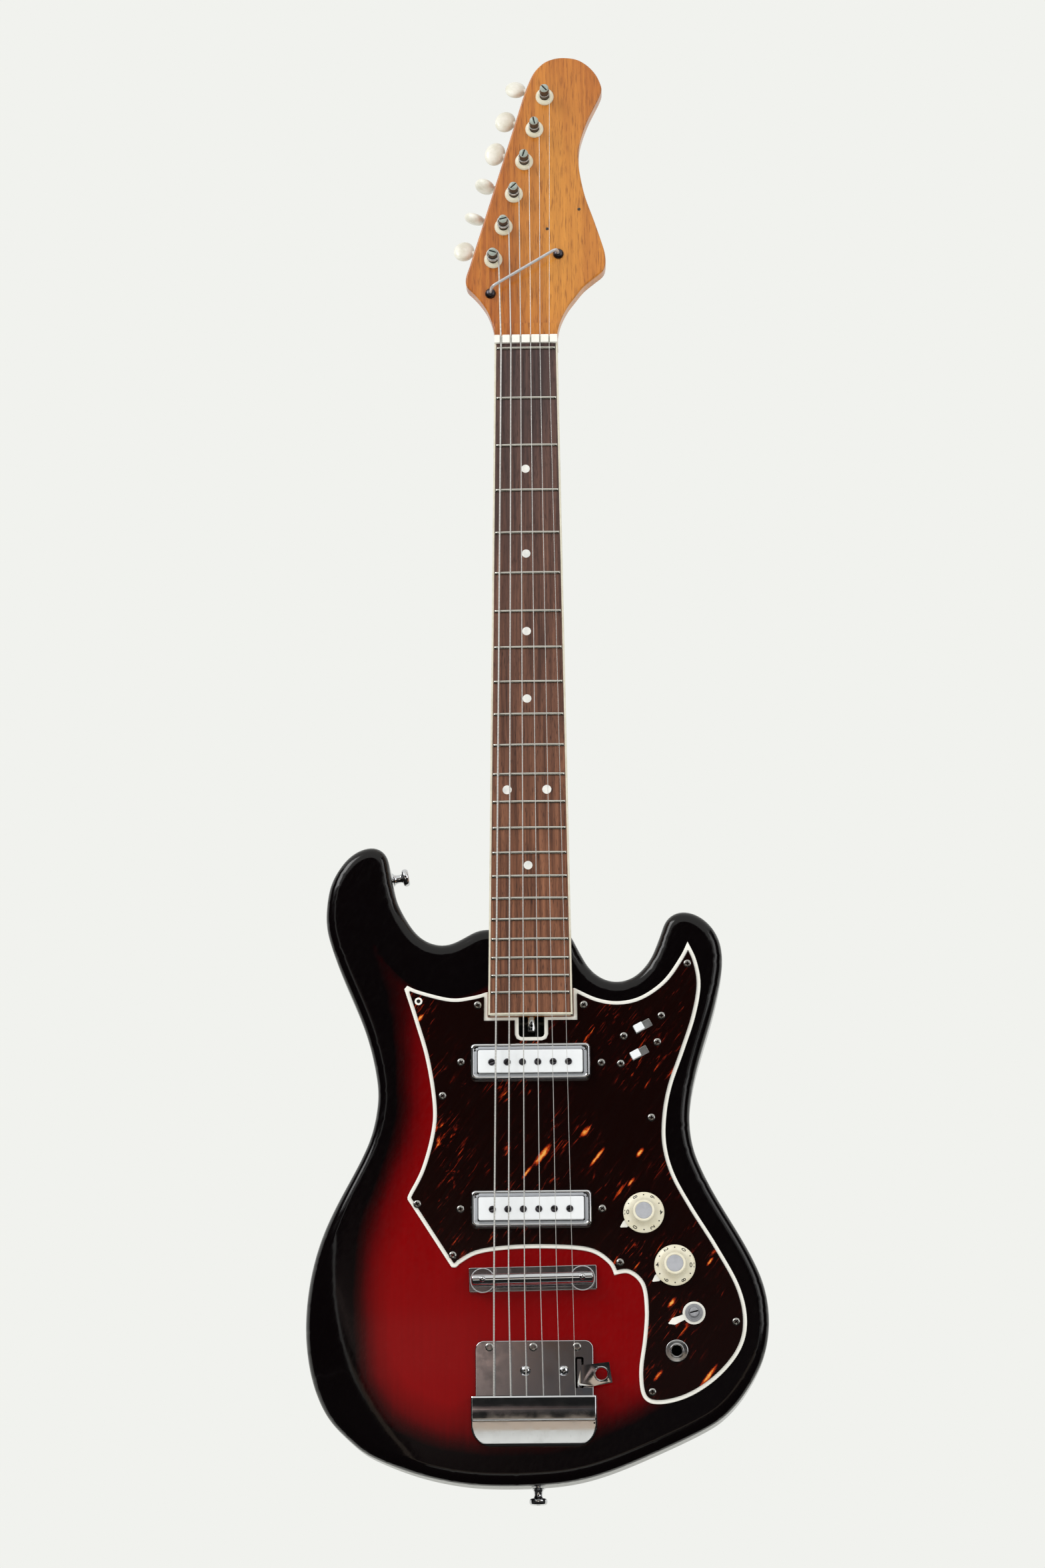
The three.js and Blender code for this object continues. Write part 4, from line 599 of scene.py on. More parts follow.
LACQUER, TORTOISE, MAHOGANY, ROSEWOOD = burst_lacquer(), tortoiseshell(), mahogany(), rosewood()
WHITE = moulded("white_pvc_ply", "#f1efe9", "#d8d2c2", 0.22, 0.3)
COVER_WHITE = moulded("white_abs_pickup_cover", "#eceef2", "#d8d9db", 0.16, 0.2)
CREAM = moulded("aged_cream_plastic", "#e9e3cf", "#cfc19a", 0.2, 0.5)
PEARL_CREAM = moulded("cream_pearloid_button", "#f1efe6", "#d3cfbd", 0.18, 0.9)
BINDING = moulded("aged_celluloid_binding", "#ddd7c6", "#b5aa90", 0.3, 0.5)
PEARL = moulded("pearloid_inlay", "#f3f1ec", "#cdd2d4", 0.15, 0.8)
GREY = moulded("grey_pressed_cap", "#b0b1b8", "#85868e", 0.3, 0.5)
SWITCH_GREY = moulded("grey_switch_case", "#d4d4d5", "#a5a5a6", 0.4, 0.5)
CHROME = plated("chrome_plate", "#dcdde0", 0.05)
DULL_CHROME = plated("worn_chrome_plate", "#c4c3c4", 0.16, 0.2)
SCREW = plated("chrome_plated_screw", "#b3b1ad", 0.2, 0.15)
POLE = plated("aged_steel_pole", "#57545a", 0.3, 0.2, "#2f2c2b")
NICKEL = plated("nickel_silver_fret_wire", "#e2dfd6", 0.14, 0.12)
PATINA = plain("tarnished_nickel_post", "#6a5d51", 0.5, 0.4, "#3f332a")
# Painted sheen: the tips' pale grey-green, which nickel gets from what it mirrors, is given as a nearly plain colour
TIP = plain("nickel_post_tip_painted_sheen", "#c6cfc8", 0.45, 0.15, "#929a92")
# Painted highlight: a pale, half-plain colour that gives the retainer bar and the wheels' rims the bright look of lit
# chrome
BRIGHT = plain("chrome_painted_highlight", "#e2e3e6", 0.3, 0.4, "#b4b5ba")
SATIN = plain("satin_nickel_shaft", "#bcbdc3", 0.42, 0.4, "#8f9097")
STEEL = plated("plain_steel", "#b9b8b6", 0.25, 0.2)
WIRE = plain("plain_steel_string", "#ececea", 0.25, 0.5, "#d0cfcc")
WOUND = wound_steel()
# Painted shade: near black for the slots, bores and hole floors where little light reaches
DARK = plain("unlit_recess", "#0a0706", 0.8, 0.0, "#1a1210")
INK = plain("black_engraving_paint", "#141313", 0.45, 0.0, "#26241f")


# Body

NOTCH_LEFT, NOTCH_RIGHT = -7.8, 8.8
# Places where the sprayed rim is wider: across, up, how much wider, and how far that reaches
WIDE_RIM = [(-142, 95, 22, 75), (-118, 400, 24, 42), (-48, 345, 36, 46), (112, 345, 26, 60), (50, 335, 12, 40),
            (100, 245, 14, 50), (145, 110, 14, 65), (90, 25, 8, 60), (0, 0, 6, 90)]
FOREARM_CENTRE, FOREARM_REACH, BODY_EDGE, RIM_REACH = np.array([54, 139]), 181, 7, 45


def read(items, key):
    """Three numbers of every item of a mesh, as an array."""
    flat = np.zeros(len(items) * 3)
    items.foreach_get(key, flat)
    return flat.reshape(-1, 3)


def forearm(points):
    """How far the front slopes back where the forearm rests: 20 degrees beyond 181 mm from a point of the face, after
    a parabola 10 mm wide."""
    beyond = np.hypot(*(points - FOREARM_CENTRE).T) - FOREARM_REACH
    reach = np.where(np.abs(beyond) < 5, (beyond + 5) ** 2 / 20, np.maximum(beyond, 0))
    return np.where((points[:, 0] < -55) & (points[:, 1] < 212), reach, 0) * math.tan(math.radians(20))


def evened(values, times):
    """A closed run with each value made the mean of five neighbours, a number of times."""
    for _ in range(times):
        values = np.mean([np.roll(values, k, 0) for k in (-2, -1, 0, 1, 2)], 0)
    return values


def body_shape():
    """The front is the face, less the forearm's slope and a quarter-round edge, with straight wells cut into it. The
    points keep how far the sprayed rim reaches: their distance to the edge, less a bell curve round each place where
    the black is wider."""
    top = [(-28, 362), (24, 361.5)]
    loop = loop_of([BODY_RUN, [BODY_RUN[-1], top[0]], top, [top[1], BODY_RUN[0]]], 2.2)
    light, heavy = evened(loop, 2), evened(loop, 16)
    share = evened(np.clip(1.6 - np.hypot(*(heavy - light).T) / 0.5, 0, 1), 3)
    loop = light + share[:, None] * (heavy - light)
    wells = [(rounded_box(NOTCH_LEFT, NOTCH_RIGHT, NECK_END - 14.5, NECK_END, 1.0), FACE + 10),
             (rounded_box(21, 35, 39, 84, 2), FACE + 14), (circle(*JACK, 5, 24), FACE + 14)]
    wells += [(moved_loop(rounded_box(-12, 12, -5.4, 5.4, 1), turned_at(x, z, SWITCH_TILT)), FACE + 10)
              for x, z in SWITCHES]
    wells += [(circle(x, z, 4.8, 24), FACE + 8) for x, z, _ in KNOBS]
    around = np.meshgrid(np.radians(np.arange(150, 250, 1.3)), FOREARM_REACH + np.arange(-5, 15, 2.5))
    angle, reach = (v.ravel() for v in around)
    arcs = FOREARM_CENTRE + reach[:, None] * np.stack([np.cos(angle), np.sin(angle)], 1)
    arcs = arcs[inside(arcs, loop) & (arcs[:, 0] < -56)]
    arcs = arcs[edge_distance(arcs, loop) > 9]
    rings = [0.4, 1.4, 2.8, 4.6, 7.0, 8.2]
    front = face_field(loop, [hole for hole, _ in wells], rings, 5,
                       lambda p, rim: FACE + forearm(p) + rounded(rim, BODY_EDGE), arcs)
    back = face_field(loop, [], rings, 9, lambda p, rim: BACK - rounded(rim, BODY_EDGE))
    side = wall(loop, FACE + forearm(loop) + BODY_EDGE, BACK - BODY_EDGE)
    inner = [form for hole, floor in wells
             for form in (wall(hole, FACE, floor), face_field(hole, [], [], 4, floor))]
    piece = make("body_shape", combine(front, back, side, *inner), LACQUER, "body")
    x, y, z = (read(piece.data.vertices, "co") * 1000).T
    flat = np.stack([x, z], 1)
    depth = edge_distance(flat, loop)
    for across, up, width, reach in WIDE_RIM:
        depth -= width * np.exp(-((x - across) ** 2 + (z - up) ** 2) / reach ** 2)
    # Painted shade: inside the wells the rim value is nothing, so the lacquer there is black
    for hole, _ in wells:
        depth[inside(flat, offset(hole, -0.8)) & (y < 0)] = 0
    layer = piece.data.attributes.new("rim", "FLOAT", "POINT")
    layer.data.foreach_set("value", np.clip(depth / RIM_REACH, 0, 1).astype(np.float32))


body_shape()


# Pickguard: a shell ply on a wider white ply

def guard_outline(step):
    """The guard's rim, with the slot round the neck and the notch in front of the truss nut."""
    gap, low, shoulder = 0.35, NECK_END - 13.5, NECK_END - 0.15
    wide = half_width(shoulder) + gap
    way = [(-28.8, 318.6), (-half_width(318.6) - gap, 318.6), (-wide, shoulder), (NOTCH_LEFT, shoulder),
           (NOTCH_LEFT, low + 2), (NOTCH_LEFT + 2, low), (NOTCH_RIGHT - 2, low), (NOTCH_RIGHT, low + 2),
           (NOTCH_RIGHT, shoulder), (wide, shoulder), (half_width(320.8) + gap, 320.8), (28.8, 320.8)]
    slot = [[a, b] for a, b in zip(way[:-1], way[1:])]
    slot[4].insert(1, (NOTCH_LEFT + 0.6, low + 0.6))
    slot[6].insert(1, (NOTCH_RIGHT - 0.6, low + 0.6))
    return loop_of(GUARD_RUNS[:-1] + slot, step)


GUARD = guard_outline(1.6)
shell_loop = offset(GUARD, 2.5)
shell_loop = shell_loop[edge_distance(shell_loop, GUARD) > 2.46]
slots = [moved_loop(rounded_box(-6.1, 6.1, -2.8, 2.8, 0.5), turned_at(x, z, SWITCH_TILT)) for x, z in SWITCHES]
slots += [circle(*JACK, 4.6, 24)] + [circle(x, z, 4.6, 24) for x, z, _ in KNOBS]
make("guard_white_ply", slab(GUARD, FACE - 1.3, FACE, 0.7, slots, 14, 0), WHITE, "pickguard_backing")
make("guard_shell_ply", slab(shell_loop, GUARD_TOP, FACE - 1.3, 0.35, slots, 14, 0), TORTOISE, "pickguard_shell")


# Neck and headstock

def neck_ring(z, depth, power):
    """Half of a flattened oval under the board: x is half the width times cos to 2/power, depth likewise by sin."""
    angle = np.linspace(0, math.pi, 40)
    across = np.sign(np.cos(angle)) * np.abs(np.cos(angle)) ** (2 / power)
    down = np.maximum(np.sin(angle), 0) ** (2 / power)
    return spread(half_width(z) * across, BOARD_BASE + depth * down, z)


def smooth_step(value, stations, levels):
    """Levels at the stations, joined by smooth steps: three times the squared share less twice its cube."""
    k = np.clip(np.searchsorted(stations, value, "right") - 1, 0, len(stations) - 2)
    t = np.clip((value - stations[k]) / (stations[k + 1] - stations[k]), 0, 1)
    return levels[k] + (levels[k + 1] - levels[k]) * t * t * (3 - 2 * t)


def head_face(z):
    """The head's face: a hollow behind the nut falls by the square of the distance to where it runs flat."""
    t = np.clip((z - 767.6) / 14.5, 0, 1)
    return HEAD_FACE - 4 * (1 - t) ** 2


def neck_shape():
    """Oval sections whose depth and squareness follow smooth steps along the neck, and a head of even thickness with
    quarter-round edges."""
    heel, edge = NECK_END + 58, 1.2
    stations = np.array([NECK_END, heel - 2, heel + 8, heel + 20, heel + 45, 743, 758, 770, 778])
    depths = np.array([18, 18, 17.8, 15.6, 15.4, 14.4, 14.7, 16, 16.7])
    powers = np.array([9, 9, 4, 2.6, 2.3, 2.3, 2.8, 5, 8])
    levels = np.concatenate([[NECK_END, NECK_END + 1, heel - 2], np.linspace(heel, heel + 45, 16),
                             np.linspace(heel + 80, 743, 12), np.linspace(746, 778, 12)])
    shaft = lofted([neck_ring(z, smooth_step(z, stations, depths), smooth_step(z, stations, powers)) for z in levels])
    right, left = ([(x, z + ZERO_FRET) for x, z in run] for run in (HEAD_RUN, HEAD_LEFT_RUN))
    foot = [left[-1], (-21.3, 762), (21.3, 762), right[0]]
    loop = loop_of([right, [right[-1], left[0]], left, foot[:2], foot[1:3], foot[2:]], 1.5)
    rings = [0.12, 0.4, 0.8, edge]
    front = face_field(loop, [], rings, 2.5, lambda p, rim: head_face(p[:, 1]) + rounded(rim, edge))
    back = face_field(loop, [], rings, 6, lambda p, rim: HEAD_BACK - rounded(rim, edge))
    side = wall(loop, head_face(loop[:, 1]) + edge, HEAD_BACK - edge)
    make("neck_and_head", combine(shaft, front, back, side), MAHOGANY, "neck", angle=40)


neck_shape()


def camber(x):
    """The board's top: a circle of 300 mm radius, close to its parabola."""
    return BOARD_TOP + np.asarray(x) ** 2 / 600


DOTS = [(-0.8, 672.9), (-0.8, 613.8), (-0.8, 560.2), (-0.8, 514.0), (-14.3, 452.2), (11.8, 452.2), (-0.8, 401.3)]
BOARD_END, STRIP, COLUMNS = 761.5, 1.2, 25


def fingerboard_shape():
    """Sections with the camber on top. The frets are half ovals on it, which shrink to nothing at both ends, and the
    binding is a strip along each side and across the neck's end."""
    rings = []
    for z in np.linspace(NECK_END + STRIP, BOARD_END, 40):
        x = np.linspace(-1, 1, COLUMNS) * (half_width(z) - STRIP)
        under = [[x[-1], BOARD_BASE, z], [x[0], BOARD_BASE, z]]
        rings.append(np.concatenate([spread(x, camber(x), z), under]))
    make("fingerboard_wood", lofted(rings), ROSEWOOD, "fingerboard")
    frets, arc = [], np.linspace(0, math.pi, 9)
    share = np.concatenate([[-1, -0.992, -0.98, -0.96], np.linspace(-0.9, 0.9, 13), [0.96, 0.98, 0.992, 1]])
    for z in map(fret_z, range(22)):
        half = half_width(z) - 1.5
        rise = np.clip((1 - np.abs(share)) * half / 0.9, 0, 1) ** 0.6
        frets.append(lofted([
            spread(s * half, camber(s * half) + 0.02 - (1.0 * r + 0.02) * np.sin(arc), z - 1.15 * np.cos(arc))
            for s, r in zip(share, rise)]))
    make("frets", combine(*frets), NICKEL, None, angle=60)
    strips = []
    for side in (-1, 1):
        rings = []
        for z in np.linspace(NECK_END, BOARD_END, 30):
            out, within = half_width(z), half_width(z) - STRIP
            x = np.array([within, out - 0.5, out - 0.15, out, out, within])
            y = [camber(within), camber(out - 0.5), camber(out) + 0.12, camber(out) + 0.5, BOARD_BASE, BOARD_BASE]
            rings.append(spread(side * x, y, z))
        strips.append(lofted(rings))
    x = np.linspace(-1, 1, COLUMNS) * (half_width(NECK_END) - 0.1)
    end = [spread(x, y, NECK_END + back) for y, back in (
        (camber(x), 1.25), (camber(x), 0.35), (camber(x) + 0.35, 0), (BOARD_BASE, 0), (BOARD_BASE, 1.25))]
    strips.append(lofted(np.array(end).transpose(1, 0, 2)))
    make("board_binding", combine(*strips), BINDING, "fingerboard_binding")
    dots = [lathe([[0, -0.04], [2.7, -0.04], [3.0, 0.05], [3.0, 0.6], [0, 0.6]], place_at(x, BOARD_TOP, z), 32)
            for x, z in DOTS]
    make("board_dots", combine(*dots), PEARL, None)


fingerboard_shape()


# Strings: each leaves the rocker, crosses the bridge and the zero fret, dips under the retainer and winds on its post

RETAINER_FEET = [np.array([-24.1, 0.0, ZERO_FRET + 42.7]), np.array([22.2, 0.0, ZERO_FRET + 70.5])]
RETAINER_RADIUS, RETAINER_RISE, RETAINER_LEAN = 1.0, 8.6, 1.6
RETAINER_WAY = (RETAINER_FEET[1] - RETAINER_FEET[0]) / np.linalg.norm(RETAINER_FEET[1] - RETAINER_FEET[0])
POST_RADIUS, FIT, STRING_LIFT, WIND_GAP, WINDINGS = 3.0, 0.3, 0.2, 0.5, 2.5


def retainer_point(foot, along, height):
    """A point of the retainer's bar: a way along it from a foot, a height over the head's face, leaning upwards."""
    spot = RETAINER_FEET[foot] + RETAINER_WAY * along
    return spot + [0, HEAD_FACE - height, RETAINER_LEAN * max(height - 1, 0) / RETAINER_RISE]


def softened(points, radius, steps=6):
    """The path with each corner turned on a quadratic curve that starts and ends at the radius from it."""
    points = np.asarray(points, float)
    run = [points[:1]]
    for before, here, after in zip(points[:-2], points[1:-1], points[2:]):
        a, b = (here + (p - here) / np.linalg.norm(p - here) * min(radius, np.linalg.norm(p - here) * 0.45)
                for p in (before, after))
        t = np.linspace(0, 1, steps)[:, None]
        run.append((1 - t) ** 2 * a + 2 * t * (1 - t) * here + t * t * b)
    return np.concatenate(run + [points[-1:]])


def string_path(k):
    """Straight runs with softened corners, then a helix round the post: the radius times cosine and sine, falling by
    one string and a gap each turn. It starts where the straight run touches it."""
    d, post, flat = STRING_DIAMETERS[k], POSTS[k], np.array([1, 0, 1])
    r = d / 2
    share = (BRIDGE_Z - 47) / (BRIDGE_Z - 56)
    tail = np.array([BRIDGE_X[k] + (TAIL_X[k] - BRIDGE_X[k]) * share,
                     BAR_TOP - STRING_LIFT - r + 0.083 * (BRIDGE_Z - 47), 47])
    saddle = np.array([BRIDGE_X[k], BAR_TOP - STRING_LIFT - r,
                       BRIDGE_Z + 0.4 + BRIDGE_X[k] * math.tan(math.radians(BRIDGE_TILT))])
    start = np.array([NUT_X[k], camber(NUT_X[k]) - 1 - STRING_LIFT - r, ZERO_FRET])
    reach = POST_RADIUS + FIT + r
    gap = (post - start) * flat
    first = math.atan2(gap[2], gap[0]) - math.asin(reach / np.linalg.norm(gap)) - math.pi / 2
    under = HEAD_FACE - RETAINER_RISE + RETAINER_RADIUS + FIT + r
    turn = np.linspace(0, WINDINGS, 101)
    angle = first + 2 * math.pi * turn
    winds = spread(post[0] + reach * np.cos(angle), under - (d + WIND_GAP) * turn, post[2] + reach * np.sin(angle))
    way = (winds[0] - start) * flat
    normal = np.array([-RETAINER_WAY[2], 0, RETAINER_WAY[0]])
    foot = (retainer_point(0, 3.2, RETAINER_RISE) - start) * flat
    crossing = start * flat + way * (foot @ normal) / (way @ normal)
    crossing[1] = under
    return np.concatenate([softened([tail, saddle, start, crossing, winds[0]], 4.0)[:-1], winds])


for k, d in enumerate(STRING_DIAMETERS):
    make(f"string_wire_{k + 1}", tube(string_path(k), d / 2), WOUND if k < 3 else WIRE, f"string_{k + 1}",
         angle=60)

bend = [(0, 0.6), (0.4, 4), (1.2, 7.2), (3.2, 8.6)]
bar = [retainer_point(0, along, height) for along, height in bend]
bar += [retainer_point(1, -along, height) for along, height in bend[::-1]]
cup = [[0, -2.5], [1.4, -2.45], [2.4, -2.0], [3.2, -1.4], [3.55, -0.7], [3.6, 0], [0, 0]]
cups = [lathe(cup, place_at(foot[0], HEAD_FACE, foot[2]), 40) for foot in RETAINER_FEET]
make("string_retainer_bar", tube(softened(bar, 1.6), RETAINER_RADIUS, 16), BRIGHT, "string_retainer",
     angle=50)
make("string_retainer_feet", combine(*cups), POLE, None, angle=50)


# Tuning machines

def bar_mark(length, width):
    """Outline of a straight slot."""
    return np.array([[-length, -width], [length, -width], [length, width], [-length, width]]) / 2


def cross_mark(length, width):
    """Outline of a cross slot."""
    a, b = length / 2, width / 2
    return np.array([[b, a], [-b, a], [-b, b], [-a, b], [-a, -b], [-b, -b],
                     [-b, -a], [b, -a], [b, -b], [a, -b], [a, b], [b, b]])


def screw_head(radius, rise, mark, depth, turn=0.0, flat=0.0, sides=36):
    """A round head seated at y = 0, and its slot as a second form. The face rises by one less the squared share of
    the radius beyond the flat middle, and the slot goes in from it with straight walls."""
    def y_of(points, _=None):
        share = np.clip((np.hypot(points[:, 0], points[:, 1]) / radius - flat) / (1 - flat), 0, 1)
        return -rise * (1 - 0.85 * share ** 2)
    c, s = cos_sin(turn)
    mark, loop, floor = mark @ np.array([[c, s], [-s, c]]), circle(0, 0, radius, sides), depth - rise
    front = face_field(loop, [mark], [radius * 0.08, radius * 0.22], radius / 3, y_of)
    return (combine(front, wall(loop, y_of(loop), 0.3)),
            combine(wall(mark, y_of(mark), floor), face_field(mark, [], [], radius, floor)))


MACHINE_AXES = (ACROSS, np.array([0.0, 1.0, 0.0]), -ROW)
FLANKS = [(3.5, -0.62), (3.85, -0.5), (4.2, -0.3), (4.2, 0.3), (3.85, 0.5), (3.5, 0.62)]
WHEEL = [(0.5, -4.7), (0.97, -4.7), (1, -4.5), (1, -1.9), (0.97, -1.7), (0.5, -1.7)]
POST_TOP = -34.2


def post_shape(place):
    """A round post over its wheel of 14 teeth, each narrower outwards."""
    shaft = lathe([[0, POST_TOP], [2.9, POST_TOP], [3.0, -34.0], [3.0, GEAR_Y - 1], [0, GEAR_Y - 1]], place, 40)
    teeth = [(r, 2 * math.pi / 14 * (i + 0.5) + math.pi / 2 + half / r) for i in range(14) for r, half in FLANKS]
    flat = np.array([[r * math.cos(a), r * math.sin(a)] for r, a in teeth])
    wheel = lofted([raised(flat, y, share) for share, y in WHEEL])
    return combine(shaft, moved(wheel, place @ np.diag([-1.0, 1, -1, 1])))


def button_shape(turn):
    """A pearl grip on its shaft: half thickness is the largest times the square root of one less the share of the way
    out to the oval rim, raised to 3.2, so that the faces are nearly flat and the rim is round."""
    angle = np.linspace(0, 2 * math.pi, 48, endpoint=False)
    share = np.sin(np.linspace(0.04, math.pi / 2, 12))
    height = 3.3 * (1 - share ** 3.2) ** 0.5
    rings = [spread(7.0 * s * np.cos(angle), h, 8.7 * s * np.sin(angle))
             for s, h in [*zip(share, -height), *zip(share[-2::-1], height[-2::-1])]]
    c, s = cos_sin(turn)
    return moved(lofted(rings), place_at(23, 0, 0, ((1, 0, 0), (0, c, s), (0, -s, c))))


def worm_shape():
    """A thread of 1.75 mm pitch on a 1.1 mm root: the section climbs along X as it turns."""
    k = np.linspace(0, 1, 3 * 28 + 1) - 0.5
    section = ((0.8, -0.5), (0.8, 0.5), (1.8, 0.28), (1.8, -0.28))
    return lofted([[[m + s, r * math.sin(a), -r * math.cos(a)] for r, s in section]
                   for a, m in zip(k * 3 * 2 * math.pi, k * 5.25)])


BUSHING = [[3.35, -2.05], [4.3, -2.1], [4.9, -1.95], [5.7, -1.3], [6.1, -0.75], [6.2, -0.3], [6.2, 0], [4.4, 0],
           [4.4, 7], [3.35, 7], [3.35, -2.05]]
BUTTON_COLLAR = [[12.6, 0], [12.6, 2.3], [12.9, 2.6], [15.2, 2.6], [16.4, 2.3], [18, 2.5], [19.4, 2.6],
                 [19.4, 0]]
WORM_SHAFT = [[-6.3, 0], [-6.3, 0.9], [-6.1, 1.1], [13, 1.1], [13, 0]]
for k, post in enumerate(POSTS):
    number, place = k + 1, place_at(*post, MACHINE_AXES)
    make(f"tuner_post_turned_{number}", post_shape(place), PATINA, f"tuner_post_{number}",
         f"post_{number}")
    tip, slot = screw_head(2.95, 2.3, bar_mark(5.0, 0.8), 1.4, 30 * k, 0.2, 40)
    for name, form, material in (("tip", tip, TIP), ("tip_slot", slot, DARK)):
        make(f"tuner_{name}_{number}", moved(form, place @ place_at(0, POST_TOP, 0)), material, None,
             f"post_{number}")
    make(f"tuner_bushing_moulded_{number}", lathe(BUSHING, place_at(post[0], HEAD_FACE, post[2]), 48), CREAM,
         f"tuner_bushing_{number}")
    worm_place = place_at(*(post + 5.5 * ROW + [0, GEAR_Y, 0]), (ACROSS, np.array([0, -1.0, 0]), ROW))
    make(f"tuner_button_pearl_{number}", moved(combine(button_shape(BUTTON_TURNS[k]), along_x(BUTTON_COLLAR)),
         worm_place), PEARL_CREAM, f"tuner_button_{number}", f"button_{number}", angle=60)
    make(f"tuner_worm_{number}", moved(combine(along_x(WORM_SHAFT, 20), worm_shape()), worm_place), STEEL, None,
         f"button_{number}", angle=50)


# Screws

GUARD_SCREWS = [(-34.5, 309.8), (34.7, 309.4), (102.4, 335.9), (-57.5, 250.3), (77.7, 234.7), (-73.9, 180.0),
                (-51.1, 146.7), (56.4, 141.1), (130.2, 102.4), (76.1, 58.1), (-45.5, 272.3), (45.7, 271.0),
                (-46.0, 176.4), (45.3, 175.9), (85.0, 301.5), (60.4, 288.3), (82.2, 284.2), (58.3, 270.2)]
PLATE_SCREWS = [(-27.7, 87.7), (0.3, 87.5), (28.2, 87.4)]
PLATE_FACE = FACE - 2


def screws(name, places, y, material, radius, rise, mark, depth, flat=0.0):
    """Screw heads of one kind in one piece, each turned a little further, and their slots in another."""
    forms = [screw_head(radius, rise, mark, depth, 20 + 37 * n, flat) for n in range(len(places))]
    for part, (kind, shade) in enumerate((("heads", material), ("slots", DARK))):
        seated = [moved(form[part], place_at(x, y, z)) for form, (x, z) in zip(forms, places)]
        make(f"{name}_{kind}", combine(*seated), shade, None)


screws("guard_screw", GUARD_SCREWS, GUARD_TOP, SCREW, 2.5, 0.6, cross_mark(2.9, 0.75), 0.8, 0.55)
empty = place_at(-73.0, GUARD_TOP, 312.8)
make("guard_empty_screw_hole", lathe([[1.3, -0.05], [2.3, -0.08], [2.5, 0], [1.3, 0.1], [1.3, -0.05]], empty, 32),
     WHITE, None)
make("guard_screw_hole_floor", lathe([[0, -0.02], [1.3, -0.02], [1.3, 0.1], [0, 0.1]], empty, 24), DARK, None)
screws("plate_screw", PLATE_SCREWS, PLATE_FACE, SCREW, 2.7, 0.5, cross_mark(3.0, 0.8), 0.8, 0.55)
screws("plate_bolt", [(-4.8, 72.5), (19.6, 72.3)], PLATE_FACE, CHROME, 3.3, 1.9, bar_mark(3.4, 0.7), 1.0)
screws("head_pin", [(36.5, 860.6), (14.7, 846.8)], HEAD_FACE, PATINA, 1.1, 0.35, bar_mark(1.2, 0.3), 0.3)


# Pickups

def framed(outer, inner, profile):
    """A ring round an opening: each [share, y] of the profile lies that share of the way from the outer outline to
    the inner one, at that height; the last joins the first."""
    rings = np.array([raised(outer + (inner - outer) * share, y) for share, y in profile + profile[:1]])
    return rings.reshape(-1, 3), grid_faces(len(rings), len(outer))


COVER_TOP = -27.9
for k, z in enumerate((NECK_END - 18.5 - 11.9, BRIDGE_Z + 46)):
    outer, inner, cover = (rounded_box(-reach - 0.3, reach - 0.3, z - half, z + half, corner, 8)
                           for reach, half, corner in ((38.9, 11.9, 3.2), (34.5, 8, 1.0), (34.0, 7.5, 1.2)))
    edge = [[0.34 * (1 - math.cos(a)), -25.6 - 1.5 * math.sin(a)] for a in np.radians(np.linspace(0, 90, 6))]
    profile = [[0, GUARD_TOP], *edge, [0.42, -27.1], [0.52, -26.95], [0.86, -25.7], [0.96, -25.6], [1.0, -25.3],
               [1.0, GUARD_TOP]]
    make(f"pickup_frame_{k + 1}", framed(outer, inner, profile), CHROME, f"pickup_rim_{k + 1}",
         angle=50)
    make(f"pickup_cover_moulded_{k + 1}", slab(cover, COVER_TOP, FACE + 5, 0.6, (), 6, 0), COVER_WHITE,
         f"pickup_cover_{k + 1}")
    poles = [(-0.4 + 49.8 * (n / 5 - 0.5), z - 0.6) for n in range(6)]
    screws(f"pickup_pole_{k + 1}", poles, COVER_TOP, POLE, 2.3, 1.0, bar_mark(3.9, 0.7), 0.6, 0.7)


# Knobs with their numbers

KNOB_PROFILE = [
    (13.1, 0.02), (13.2, 0.05), (13.15, 0.09), (12.6, 0.135), (12.2, 0.16), (11.2, 0.2), (10.2, 0.25), (9.3, 0.32),
    (8.7, 0.4), (8.1, 0.49), (7.7, 0.58), (7.35, 0.68), (7.2, 0.78), (7.12, 0.9), (7.0, 0.955), (6.7, 0.99), (6.3, 1.0),
    (5.7, 1.0), (5.45, 0.985)]
SKIRT_Y, KNOB_HEIGHT, DIAL_RADIUS, DIAL_STEP = GUARD_TOP - 1.2, 11.0, 11.25, 60


def knob_y(radius):
    """Height of the knob's flare at a radius."""
    r, share = np.array(KNOB_PROFILE[1:]).T
    return SKIRT_Y - KNOB_HEIGHT * np.interp(np.asarray(radius), r[::-1], share[::-1])


def glyphs(text, size):
    """Thin closed letters, centred, as points (x, z, thickness) and faces."""
    curve = bpy.data.curves.new("digits", "FONT")
    curve.body, curve.size, curve.align_x, curve.align_y = text, size, "CENTER", "CENTER"
    curve.extrude, curve.offset, curve.resolution_u = 0.02, 0.05, 3
    holder = bpy.data.objects.new("digits", curve)
    mesh = bpy.data.meshes.new_from_object(holder)
    faces = [list(face.vertices) for face in mesh.polygons]
    bpy.data.objects.remove(holder)
    bpy.data.curves.remove(curve)
    return read(mesh.vertices, "co"), faces


def dial(first):
    """The even numbers up to ten, whose lines run in towards the middle, with a dot between neighbours."""
    forms = []
    for n in range(6):
        angle = first + DIAL_STEP * n
        points, faces = glyphs(str(2 * n), 4.3)
        (c, s), (out, up) = cos_sin(angle - 180), cos_sin(angle)
        x = DIAL_RADIUS * out + c * points[:, 0] * 0.9 - s * points[:, 1]
        z = DIAL_RADIUS * up + s * points[:, 0] * 0.9 + c * points[:, 1]
        forms.append((spread(x, knob_y(np.hypot(x, z)) - 0.03 - points[:, 2], z), faces))
        c, s = cos_sin(angle + DIAL_STEP / 2)
        ring = circle(11.3 * c, 11.3 * s, 0.45, 12)
        forms.append(lofted([raised(ring, knob_y(np.hypot(*ring.T)) + y) for y in (0.02, -0.05)]))
    return combine(*forms)


